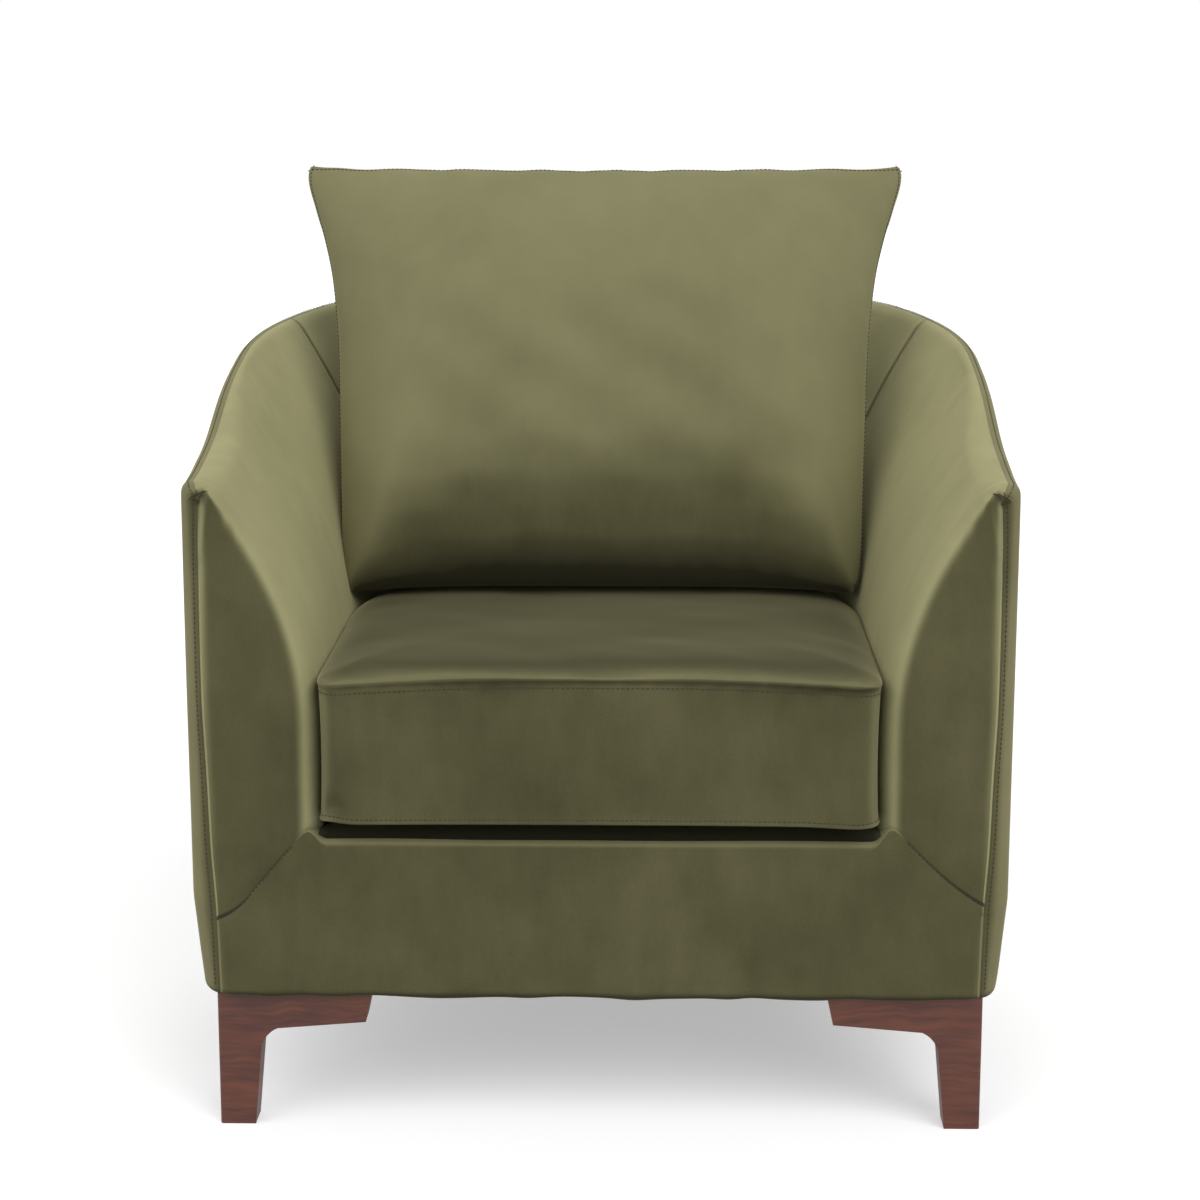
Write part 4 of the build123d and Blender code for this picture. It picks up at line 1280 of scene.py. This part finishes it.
    def build(self) -> list[bpy.types.Object]:
        """Makes the three panels.

        Returns:
            The pieces.
        """
        half = self.half_grid()
        rear_angle = math.asin(self.seam_y / self.form.half)
        split = self.corner_columns + self.side_columns + round(rear_angle / (math.pi / 2) * (self.back_columns // 2))
        right = half[:, : split + 1]
        back = np.concatenate([half[:, split:], mirrored(half)[:, 1 : half.shape[1] - split]], axis=1)
        pieces = []
        parts = (("outside_arm_pad_right", right, 5, "outside_arm_cover_right"),
                 ("outside_arm_pad_left", mirrored(right), 8, "outside_arm_cover_left"),
                 ("outside_back_pad", back, 13, "outside_back_cover"))
        for name, grid, seed, node in parts:
            middle = grid[grid.shape[0] // 2, grid.shape[1] // 2]
            normal = normals_of(grid)[grid.shape[0] // 2, grid.shape[1] // 2]
            if normal @ np.array([middle[0], middle[1], 0]) < 0:
                grid = grid[:, ::-1]
            grid = self.shaped(grid, seed)
            for edge in (Edge.FIRST, Edge.LAST):
                line = line_inside(grid, 5.0, edge)
                self.seams.mark(Body.CHAIR, line[line[:, 2] > 140])
            self.seams.mark(Body.CHAIR, line_inside(grid, 5.0, Edge.TOP))
            piece = padded_panel(name, grid, self.pad)
            piece.data.materials.append(self.wardrobe.outer_velvet)
            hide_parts(node)
            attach(piece, Body.CHAIR.value)
            pieces.append(piece)
        return pieces


@dataclass
class Apron:
    """Front panel under the seat, mitred into the arm fronts and rolled back over the deck."""

    wardrobe: Wardrobe
    seams: SeamBook
    form: TubForm = FORM
    columns: int = 124
    wall_rows: int = 30
    roll_rows: int = 10
    deck_top: float = 289.5
    back_edge: float = -330.0
    pad: float = 10.0

    def grid(self) -> Grid:
        """The panel from under the hem to the deck, seen from the front."""
        form = self.form
        share = np.linspace(-1, 1, self.columns)
        columns = []
        for value in share:
            x = abs(value) * 362
            inside = 1 - float(ease((x - 256) / 16))
            side = Side.LEFT if value < 0 else Side.RIGHT
            mitre = float(form.mitre_height(np.array(max(x, 262.0)), side))
            high = mitre * (1 - inside) + (self.deck_top - 11) * inside
            z = form.hem + 4.5 + (high - form.hem - 4.5) * np.linspace(0, 1, self.wall_rows)
            # the outer columns follow the seam, which moves in towards the hem
            wide = abs(value) * form.seam_x(z)
            wall = np.stack([math.copysign(1, value) * wide, form.face_y(wide, z), z], axis=-1)
            foot = wall[0]
            under = np.stack([foot + [0, 9, -4.0], foot + [0, 4, -4.2], foot + [0, 1.2, -3.0]])
            roll = np.linspace(0, 1, self.roll_rows + 1)[1:, None]
            end_in = np.array([wall[-1][0], self.back_edge, self.deck_top])
            end_out = wall[-1] + [0, 14.0, 3.0]
            end = end_in * inside + end_out * (1 - inside)
            reach = float(np.linalg.norm(end - wall[-1]))
            rising = np.array([0, 0, 1.0]) * reach * (0.5 * inside + 0.2)
            back = np.array([0, 1.0, 0]) * reach * 1.1
            columns.append(np.concatenate([under, wall, hermite(wall[-1][None], rising[None], end[None], back[None], roll)]))
        return np.stack(columns, axis=1)

    def build(self) -> bpy.types.Object:
        """Makes the apron.

        Returns:
            The piece.
        """
        grid = self.grid()
        normal = normals_of(grid)
        if normal[grid.shape[0] // 2, grid.shape[1] // 2][1] > 0:
            grid = grid[:, ::-1]
            normal = normals_of(grid)
        x, z = np.abs(grid[..., 0]), grid[..., 2]
        down, _, first, last = edge_distances(grid)
        seam_row = 2 + self.wall_rows
        outer = ease((x - 262) / 10)
        mitre = np.abs(down[seam_row] - down) * outer + 80 * (1 - outer)
        side = np.where(z < 216, np.minimum(first, last), 80.0)
        edge = np.minimum(mitre, side)
        swell = 1.4 * puff(side, 5.0) * (0.4 + 0.6 * puff(mitre, 16)) * puff(mitre, 2.5)
        swell += 0.7 * ripple(grid, 180, 61) * ease(edge / 50)
        hem = np.exp(-((z - 134) / 22).clip(0) ** 2) * ease(side / 20)
        swell += 0.8 * hem * np.sin(grid[..., 0] * 0.07 + 2 * ripple(grid, 120, 63))
        swell[seam_row + 1 :] *= 1 - outer[seam_row + 1 :]
        grid = grid + normal * swell[..., None]
        piece = padded_panel("apron_pad", grid, self.pad)
        piece.data.materials.append(self.wardrobe.outer_velvet)
        piece.data.materials.append(self.wardrobe.painted_shade_velvet)
        # painted shade: faces on the apron's top, under the cushion's overhang, get the near-black velvet
        for face in piece.data.polygons:
            if face.center.z > 0.27 and face.center.y > -0.3695 and abs(face.center.x) < 0.262:
                face.material_index = 1
        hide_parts("apron_cover", "apron_foam")
        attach(piece, Body.CHAIR.value)
        return piece


# ---------------------------------------------------------------- loose cushions


@dataclass(frozen=True)
class SeatPlan:
    """Plan of the seat: straight front and sides, rounded front corners, a half circle behind."""

    half: float
    front: float
    corner: float
    centre: float = -76.0

    def borders(self, across: Grid, up: Grid) -> tuple[Grid, Grid, Grid, Grid]:
        """The front, back, left and right border lines.

        Args:
            across: Positions from 0 to 1 along front and back.
            up: Positions from 0 to 1 along the sides.

        Returns:
            Points in plan for each of the four borders.
        """
        turn = np.linspace(-math.pi / 4, 0, 12)
        middle = np.array([self.half - self.corner, self.front + self.corner])
        bend = middle + self.corner * np.stack([np.cos(turn), np.sin(turn)], axis=-1)
        lower = middle + self.corner * np.stack([-np.sin(turn), -np.cos(turn)], axis=-1)
        sweep = np.linspace(0, math.pi / 4, 60)
        arc = np.stack([self.half * np.cos(sweep), self.centre + self.half * np.sin(sweep)], axis=-1)
        right = along_line(np.concatenate([bend, arc]), up)
        front_half = np.concatenate([[[0.0, self.front]], lower[::-1]])
        front_half = np.array(sorted(front_half.tolist()))
        full = np.concatenate([front_half[::-1] * [-1, 1], front_half[1:]])
        front = along_line(full, across)
        sweep = np.linspace(0.75 * math.pi, math.pi / 4, 120)
        back = along_line(np.stack([self.half * np.cos(sweep), self.centre + self.half * np.sin(sweep)], axis=-1), across)
        return front, back, right * [-1, 1], right

    def fill(self, across: Grid, up: Grid) -> Grid:
        """Grid of points over the whole plan."""
        front, back, left, right = self.borders(across, up)
        return patch(front, back, left, right, across, up)


def border_of(grid: Grid) -> Grid:
    """Points round the border of a grid, in order."""
    return grid.reshape(-1, grid.shape[-1])[rim_numbers(*grid.shape[:2])]


def outward_of(ring: Grid) -> Grid:
    """Unit directions away from a closed plan line that runs anticlockwise."""
    along = np.roll(ring, -1, axis=0) - np.roll(ring, 1, axis=0)
    out = np.stack([along[:, 1], -along[:, 0]], axis=-1)
    return out / np.maximum(np.linalg.norm(out, axis=1, keepdims=True), 1e-9)


SEAT_CROWN = smooth_curve(
    ((0, 0.6), (2, 2.3), (5, 4.6), (14, 9.6), (28, 13.6), (46, 16.6), (98, 20.6), (150, 22.0), (300, 22.0))
)


@dataclass
class SeatCushion:
    """Loose boxed cushion: crowned top, boxing drawn in between two sewn edges, settled underside."""

    wardrobe: Wardrobe
    seams: SeamBook
    plan: SeatPlan = SeatPlan(263.8, -388.0, 24.0)
    floor: float = 290.4
    bottom_seam: float = 306.0
    top_seam: float = 439.5
    columns: int = 82
    rows: int = 78

    def heights(self, ring: Grid) -> tuple[Grid, Grid]:
        """Heights of the lower and upper seam round the cushion."""
        at_front = np.exp(-(((ring[:, 1] - self.plan.front) / 30) ** 2))
        arch = at_front * np.exp(-((ring[:, 0] / 190) ** 4))
        top = self.top_seam + 6.5 * arch - 1.5 * at_front * np.exp(-(((np.abs(ring[:, 0]) - 250) / 25) ** 2))
        bottom = self.bottom_seam + 1.0 * arch - 2.0 * at_front * np.exp(-(((ring[:, 0] - 240) / 30) ** 2))
        return bottom, top

    def build(self) -> bpy.types.Object:
        """Makes the cushion.

        Returns:
            The piece.
        """
        fine = (0.003, 0.008, 0.016, 0.028, 0.044)
        across, up = crowded(self.columns, fine), crowded(self.rows, fine)
        flat = self.plan.fill(across, up)
        ring = border_of(flat)
        out = outward_of(ring)
        bottom, top = self.heights(ring)
        reach = np.sqrt(((flat.reshape(-1, 1, 2) - ring[None]) ** 2).sum(axis=-1))
        inset = reach.min(axis=1).reshape(flat.shape[:2])
        weight = 1 / np.maximum(reach, 1.0) ** 3
        weight /= weight.sum(axis=1, keepdims=True)
        seam_top = (weight @ top).reshape(inset.shape)
        seam_bottom = (weight @ bottom).reshape(inset.shape)
        belly = smooth_curve(((0, 0), (4, 1.0), (14, 2.6), (32, 6.5), (52, 11.5), (76, 15.0), (100, 15.6), (300, 15.6)))
        slope = seam_top - self.top_seam
        over = np.dstack([flat, seam_top - slope * ease(inset / 150) + SEAT_CROWN(inset)])
        under = np.dstack([flat, np.maximum(seam_bottom - belly(inset), self.floor)])
        rings = []
        for share in (0.012, 0.03, 0.06, 0.11, 0.18, 0.27, 0.38, 0.5, 0.62, 0.73, 0.82, 0.89, 0.94, 0.97, 0.988):
            drawn = 1.3 + 2.0 * math.sin(math.pi * share) ** 0.8
            lip = 1.3 * (math.exp(-((share / 0.02) ** 2)) + math.exp(-(((1 - share) / 0.02) ** 2)))
            rings.append(np.column_stack([ring - out * (drawn - lip), bottom + (top - bottom) * share]))
        over, under = self.shaped(over), self.shaped(under)
        rings = [self.shaped(each) for each in rings]
        for ring_number in (1, 12):
            self.seams.mark(Body.SEAT, self.around(rings[ring_number], out))
        piece = closed_shell("seat_cushion_pad", under, rings, over)
        piece.data.materials.append(self.wardrobe.seat_velvet)
        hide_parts("seat_cushion_cover", "seat_cushion_foam")
        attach(piece, Body.SEAT.value)
        return piece

    def around(self, ring: Grid, out: Grid) -> Grid:
        """A closed line just outside a ring of the boxing, for stitches."""
        line = ring + np.column_stack([out * 0.25, np.zeros(len(ring))])
        return np.concatenate([line, line[:1]])

    def shaped(self, points: Grid) -> Grid:
        """Gives the cushion the unevenness of sewn and sat-on filling."""
        x, y, z = points[..., 0], points[..., 1], points[..., 2]
        top = ease((z - 442) / 12)
        side = ease((z - 312) / 20) * (1 - ease((z - 430) / 12))
        points = points.copy()
        points[..., 2] += top * (1.3 * ripple(points, 190, 71) + 0.4 * ripple(points, 80, 72))
        front = np.exp(-(((y - self.plan.front) / 30) ** 2))
        bulge = side * (1.2 * ripple(points, 150, 73, (1, 1, 2)) + 0.3 * ripple(points, 45, 74, (1, 1, 1.5)))
        near_top = np.exp(-(((z - 434) / 6) ** 2)) + np.exp(-(((z - 312) / 6) ** 2))
        tuck = np.exp(-(((x + 250) / 12) ** 2) - (((y - self.plan.front) / 22) ** 2) - (((z - 316) / 14) ** 2))
        points[..., 1] += front * (0.5 * near_top * np.sin(x * 0.24 + 2.2 * ripple(points, 70, 75)) - bulge) + 5.0 * tuck
        points[..., 2] += 2.5 * tuck
        return points


@dataclass
class BackPillow:
    """Loose knife-edge pillow with drawn-out top corners; its filling has settled low."""

    wardrobe: Wardrobe
    seams: SeamBook
    lean: float = 24.0
    centre: tuple[float, float, float] = (-4.5, 46.0, 681.0)
    low: float = -240.0
    high: float = 231.0
    front_depth: float = 84.0
    rear_depth: float = 150.0
    columns: int = 84
    rows: int = 76

    def borders(self, across: Grid, up: Grid) -> tuple[Grid, Grid, Grid, Grid]:
        """The bottom, top, left and right seam lines in the pillow's own plane.

        Args:
            across: Positions from 0 to 1 along bottom and top.
            up: Positions from 0 to 1 along the sides.

        Returns:
            Points for each of the four borders.
        """
        half = smooth_curve(
            ((-240, 262.0), (-228, 268.5), (-200, 272.0), (-137, 274.5), (-59, 278.0), (20, 281.7), (100, 290.4),
             (150, 301.5), (181, 311.0), (222, 321.0), (231, 319.0))
        )
        v = np.linspace(self.low, self.high, 300)
        right = along_line(np.stack([half(v), v], axis=-1), up)
        u = np.linspace(-1, 1, 240)
        sag = 6.5 * (1 - np.abs(u) ** 1.7) - 2.0 * np.exp(-(((1 - np.abs(u)) / 0.03) ** 2))
        top = np.stack([319 * u, self.high - sag + 1.3 * np.sin(u * 26 + 0.6) * ease((1 - np.abs(u)) * 7)], axis=-1)
        bottom = np.stack([262 * u, np.full_like(u, self.low)], axis=-1)
        top[0], top[-1] = (-right[-1][0], right[-1][1]), right[-1]
        return along_line(bottom, across), along_line(top, across), right * [-1, 1], right

    def placed(self, plane: Grid, height: Grid) -> Grid:
        """Takes points of the seam plane, with a height off it, to the chair."""
        turn = math.radians(self.lean)
        forward = np.array([0, -math.cos(turn), math.sin(turn)])
        upward = np.array([0, math.sin(turn), math.cos(turn)])
        return (
            np.array(self.centre)
            + plane[..., :1] * np.array([1.0, 0, 0])
            + plane[..., 1:2] * upward
            + height[..., None] * forward
        )

    def build(self) -> bpy.types.Object:
        """Makes the pillow.

        Returns:
            The piece.
        """
        fine = (0.004, 0.010, 0.019, 0.031, 0.046)
        across, up = crowded(self.columns, fine), crowded(self.rows, fine)
        plane = patch(*self.borders(across, up), across, up)
        u, v = np.abs(across * 2 - 1)[None], plane[..., 1]
        rise_front = smooth_curve(
            ((-240, 0), (-237, 0.2), (-228, 0.42), (-212, 0.63), (-190, 0.8), (-165, 0.91), (-130, 0.98), (-90, 1),
             (-13, 0.975), (79, 0.87), (151, 0.66), (201, 0.36), (222, 0.15), (231, 0))
        )
        rise_rear = smooth_curve(
            ((-240, 0), (-234, 0.5), (-222, 0.85), (-200, 1), (-120, 1), (-47, 0.96), (71, 0.72), (172, 0.32), (231, 0))
        )
        top_edge = np.clip((self.high - v) / 8, 0, 1) ** 0.5
        side = np.clip((1 - u) * 12, 0, 1)
        near = np.minimum((1 - u) * 300, np.minimum(self.high - v, v - self.low)).clip(0)
        front = self.front_depth * rise_front(v) * (1 - u**3.4) ** 0.58
        rear = self.rear_depth * rise_rear(v) * (1 - u**2.6) ** 0.8
        rim = np.arctan2(plane[..., 1], plane[..., 0]) * 300
        wrinkles = np.sin(rim * 0.17 + 2.6 * ripple(self.placed(plane, front), 120, 81))
        front = front + 0.8 * wrinkles * np.exp(-((near / 16) ** 2)) * np.clip(near / 5, 0, 1) * top_edge * side
        over, under = self.placed(plane, front), self.placed(plane, -rear)
        turn = math.radians(self.lean)
        forward = np.array([0, -math.cos(turn), math.sin(turn)])
        loose = ease(front / 50)[..., None]
        over = over + forward * loose * (2.2 * ripple(over, 230, 83) + 0.6 * ripple(over, 95, 84))[..., None]
        under, over = self.settled(under), self.settled(over)
        for edge in (Edge.TOP, Edge.FIRST, Edge.LAST):
            line = line_inside(over, 4.0, edge, 0.3)
            self.seams.mark(Body.PILLOW, line[line[:, 2] > 470])
        piece = closed_shell("back_pillow_pad", under, [], over)
        piece.data.materials.append(self.wardrobe.pillow_velvet)
        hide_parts("back_pillow")
        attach(piece, Body.PILLOW.value)
        return piece

    def settled(self, points: Grid) -> Grid:
        """Flattens the pillow softly where it stands on the crown of the seat cushion."""
        points = points.copy()
        x, y = points[..., 0], points[..., 1]
        inset = np.where(y > -76, 263.8 - np.hypot(x, y + 76), 263.8 - np.abs(x)).clip(0)
        crown = SEAT_CROWN(inset) + 439.5 + 1.6
        raised = ease((y + 8) / 18)  # the zip under the pillow keeps its room
        floor = crown * (1 - raised) + 466.8 * raised
        above = points[..., 2] - floor
        points[..., 2] = floor + np.where(above < 14, 14 * np.exp(np.minimum(above - 14, 0) / 14), above)
        return points


# ---------------------------------------------------------------- deck, underside, feet


@dataclass
class Deck:
    """Padded deck under the seat cushion."""

    wardrobe: Wardrobe
    plan: SeatPlan = SeatPlan(264.0, -329.0, 6.0)
    top: float = 289.8
    pad: float = 12.0

    def build(self) -> bpy.types.Object:
        """Makes the deck pad.

        Returns:
            The piece.
        """
        across = crowded(30, (0.01, 0.03))
        flat = self.plan.fill(across, across)
        ring = border_of(flat)
        inset = np.sqrt(((flat.reshape(-1, 1, 2) - ring[None]) ** 2).sum(axis=-1)).min(axis=1).reshape(flat.shape[:2])
        over = np.dstack([flat, self.top - 2.5 * np.exp(-inset / 8)])
        under = over - [0, 0, self.pad]
        piece = closed_shell("deck_pad_cover", under, [], over, rounded=False)
        # painted shade: the whole deck gets the near-black velvet, as it lies in the seat cushion's shadow
        piece.data.materials.append(self.wardrobe.painted_shade_velvet)
        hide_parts("deck_cover", "deck_pad")
        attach(piece, Body.CHAIR.value)
        return piece


@dataclass
class Underside:
    """Black dust cover stretched under the frame and stapled along its edge."""

    wardrobe: Wardrobe
    plan: SeatPlan = SeatPlan(369.0, -364.0, 30.0, 0.0)
    level: float = 132.7
    thickness: float = 0.5
    staple_inset: float = 7.0
    staple: Repeater = Repeater(Shape.STAPLE, pitch=38.0, length=10.0, width=1.2, height=0.7)

    def build(self) -> list[bpy.types.Object]:
        """Makes the dust cover and its staples.

        Returns:
            The pieces.
        """
        at = crowded(60, (0.008, 0.02))
        flat = self.plan.fill(at, at)
        ring = border_of(flat)
        inset = np.sqrt(((flat.reshape(-1, 1, 2) - ring[None]) ** 2).sum(axis=-1)).min(axis=1).reshape(flat.shape[:2])
        under = np.dstack([flat, np.full(inset.shape, self.level)])
        under[..., 2] += 0.25 * ripple(under, 110, 91) * ease(inset / 30) - 0.15
        over = under + [0, 0, self.thickness]
        cover = closed_shell("dust_cover_cloth", under, [], over, rounded=False)
        cover.data.materials.append(self.wardrobe.dust)
        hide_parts("dust_cover")
        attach(cover, Body.CHAIR.value)
        line = ring - outward_of(ring) * self.staple_inset
        line = np.column_stack([line, np.full(len(line), self.level - 0.35)])
        staples = self.staple.along("dust_cover_staples", [np.concatenate([line, line[:1]])], self.wardrobe.steel)
        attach(staples, Body.CHAIR.value)
        return [cover, staples]


@dataclass
class ZipTeeth:
    """Moulded teeth along the chains of both zips."""

    wardrobe: Wardrobe
    centre: tuple[float, float] = (0.0, -76.0)
    proud: float = 0.15  # height above the chain, under the slider's roof
    level: float = 373.5
    half_angle: float = 44.6
    pillow_y: float = 24.0
    pillow_half: float = 199.0
    tooth: Repeater = Repeater(Shape.TOOTH, pitch=2.1, length=1.2, width=1.0, height=3.0)

    def build(self) -> list[bpy.types.Object]:
        """Makes both rows of teeth.

        Returns:
            The pieces.
        """
        turn = np.radians(np.linspace(90 - self.half_angle, 90 + self.half_angle - 5, 120))
        sunk = self.tooth.width / 2 - self.proud
        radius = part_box("seat_zip_tape")[1].y / MM - self.centre[1] - sunk
        arc = np.column_stack(
            [
                self.centre[0] + radius * np.cos(turn),
                self.centre[1] + radius * np.sin(turn),
                np.full(len(turn), self.level),
            ]
        )
        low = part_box("pillow_zip_tape")[0].z / MM + sunk
        straight = np.array([[-self.pillow_half + 20, self.pillow_y, low], [self.pillow_half, self.pillow_y, low]])
        pieces = []
        flat_tooth = Repeater(Shape.TOOTH, self.tooth.pitch, self.tooth.length, self.tooth.height, self.tooth.width)
        for name, repeater, line, body in (
            ("seat_zip_teeth", self.tooth, arc, Body.SEAT),
            ("pillow_zip_teeth", flat_tooth, straight, Body.PILLOW),
        ):
            piece = repeater.along(name, [line], self.wardrobe.brass)
            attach(piece, body.value)
            pieces.append(piece)
        return pieces


@dataclass
class Carcass:
    """Finishes of the frame, webbing, feet and zips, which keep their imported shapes."""

    wardrobe: Wardrobe

    def dress(self) -> None:
        """Gives every node that stays its material."""
        kit = self.wardrobe
        by_slot = {
            "foot_wood": kit.foot,
            "frame_wood": kit.rail,
            "plywood": kit.ply,
            "fibreboard": kit.board,
            "webbing": kit.webbing,
            "zip_tape": kit.tape,
            "zip_metal": kit.brass,
            "foam": kit.foam,
            "dust_cloth": kit.dust,
            "velvet": kit.velvet,
        }
        slots = {part["node"]: part["material_slot"] for part in frame["record"]["subparts"]}
        for name, node in frame["nodes"].items():
            finish = by_slot[slots[name]]
            for index in range(max(len(node.material_slots), 1)):
                if node.material_slots:
                    node.material_slots[index].material = finish
                else:
                    node.data.materials.append(finish)
        LOG.info("dressed %d packed nodes", len(slots))


# ---------------------------------------------------------------- studio


@dataclass(frozen=True)
class Studio:
    """Plain pale floor and backdrop, soft light and the camera of the photograph."""

    floor: str = "#e4e4e4"
    lens: float = 79.5
    place: tuple[float, float, float] = (0.0491, -2.765, 1.0023)
    yaw: float = 1.15
    pitch: float = 11.44

    def build(self) -> None:
        """Makes the floor, lamps, world and camera."""
        self.make_floor()
        self.make_world()
        self.lamp("key_soft", (1.5, -2.0, 2.6), 45.0, 1.6)
        self.lamp("fill_soft", (-1.9, -1.7, 2.4), 60.0, 1.1)
        self.lamp("top_soft", (0.0, 1.7, 2.3), 60.0, 0.9)
        self.make_camera()

    def make_floor(self) -> None:
        """A wide floor that shows white to the camera except where the chair shades it."""
        size = 14000.0
        points = np.array([[-size, -size, 0], [size, -size, 0], [size, size, 0], [-size, size, 0]])
        floor = build_mesh("studio_floor", points, [(0, 1, 2, 3)], smooth=False)
        material = bpy.data.materials.new("studio_paper")
        material.use_nodes = True
        tree = material.node_tree
        tree.nodes.clear()
        path = add_node(tree, "ShaderNodeLightPath")
        seen = add_node(
            tree,
            "ShaderNodeMath",
            {0: path.outputs["Is Camera Ray"], 1: path.outputs["Is Glossy Ray"]},
            operation="MAXIMUM",
        )
        lift = add_node(tree, "ShaderNodeMath", {0: seen.outputs[0], 1: 0.42}, operation="MULTIPLY")
        paper = add_node(tree, "ShaderNodeBsdfDiffuse", {"Color": linear(self.floor)})
        glow = add_node(tree, "ShaderNodeEmission", {"Color": (1, 1, 1, 1), "Strength": lift.outputs[0]})
        both = add_node(tree, "ShaderNodeAddShader", {0: paper.outputs[0], 1: glow.outputs[0]})
        add_node(tree, "ShaderNodeOutputMaterial", {"Surface": both.outputs[0]})
        floor.data.materials.append(material)

    def make_world(self) -> None:
        """White to the camera and to reflections, a soft grey sky for the light."""
        world = bpy.data.worlds.new("studio_world")
        bpy.context.scene.world = world
        world.use_nodes = True
        tree = world.node_tree
        tree.nodes.clear()
        path = add_node(tree, "ShaderNodeLightPath")
        seen = add_node(
            tree, "ShaderNodeMath", {0: path.outputs["Is Camera Ray"], 1: path.outputs["Is Glossy Ray"]}, operation="MAXIMUM"
        )
        through = add_node(
            tree, "ShaderNodeMath", {0: seen.outputs[0], 1: path.outputs["Is Transmission Ray"]}, operation="MAXIMUM"
        )
        soft = add_node(tree, "ShaderNodeBackground", {"Color": linear("#f4f4f6"), "Strength": 0.32})
        white = add_node(tree, "ShaderNodeBackground", {"Color": (1, 1, 1, 1), "Strength": 1.0})
        mix = add_node(tree, "ShaderNodeMixShader", {0: through.outputs[0], 1: soft.outputs[0], 2: white.outputs[0]})
        add_node(tree, "ShaderNodeOutputWorld", {"Surface": mix.outputs[0]})

    def lamp(self, name: str, place: tuple[float, float, float], spread: float, power: float) -> None:
        """Adds one soft lamp from a far softbox that faces the chair.

        Args:
            name: Name of the lamp.
            place: The side that it shines from, in metres.
            spread: Width of the softbox as the chair sees it, in degrees.
            power: Watts for each square metre.
        """
        data = bpy.data.lights.new(name, "SUN")
        data.energy, data.angle = power, math.radians(spread)
        made = bpy.data.objects.new(name, data)
        made.location = place
        made.rotation_euler = (Vector((0, -0.05, 0.45)) - Vector(place)).to_track_quat("-Z", "Y").to_euler()
        bpy.context.scene.collection.objects.link(made)

    def make_camera(self) -> None:
        """The photograph's camera."""
        data = bpy.data.cameras.new("photo_camera")
        data.lens, data.sensor_width = self.lens, 36.0
        data.sensor_fit = "AUTO"
        camera = bpy.data.objects.new("photo_camera", data)
        camera.location = self.place
        turn = Matrix.Rotation(math.radians(self.yaw), 4, "Z") @ Matrix.Rotation(math.radians(90 - self.pitch), 4, "X")
        camera.rotation_euler = turn.to_euler()
        bpy.context.scene.collection.objects.link(camera)
        bpy.context.scene.camera = camera


def main() -> None:
    """Builds the chair piece by piece."""
    logging.basicConfig(level=logging.INFO, format="%(name)s: %(message)s")
    bpy.context.scene.view_settings.view_transform = "Standard"
    Studio().build()
    wardrobe = Wardrobe()
    Carcass(wardrobe).dress()
    seams = SeamBook(wardrobe, {})
    pieces = [
        *InsidePanels(wardrobe, seams).build(),
        *OutsidePanels(wardrobe, seams).build(),
        Apron(wardrobe, seams).build(),
        Deck(wardrobe).build(),
        SeatCushion(wardrobe, seams).build(),
        BackPillow(wardrobe, seams).build(),
        *Underside(wardrobe).build(),
        *ZipTeeth(wardrobe).build(),
        *seams.build(),
    ]
    for piece in pieces:
        LOG.info("%s: %d faces", piece.name, len(piece.data.polygons))
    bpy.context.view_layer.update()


if __name__ == "__main__":
    main()
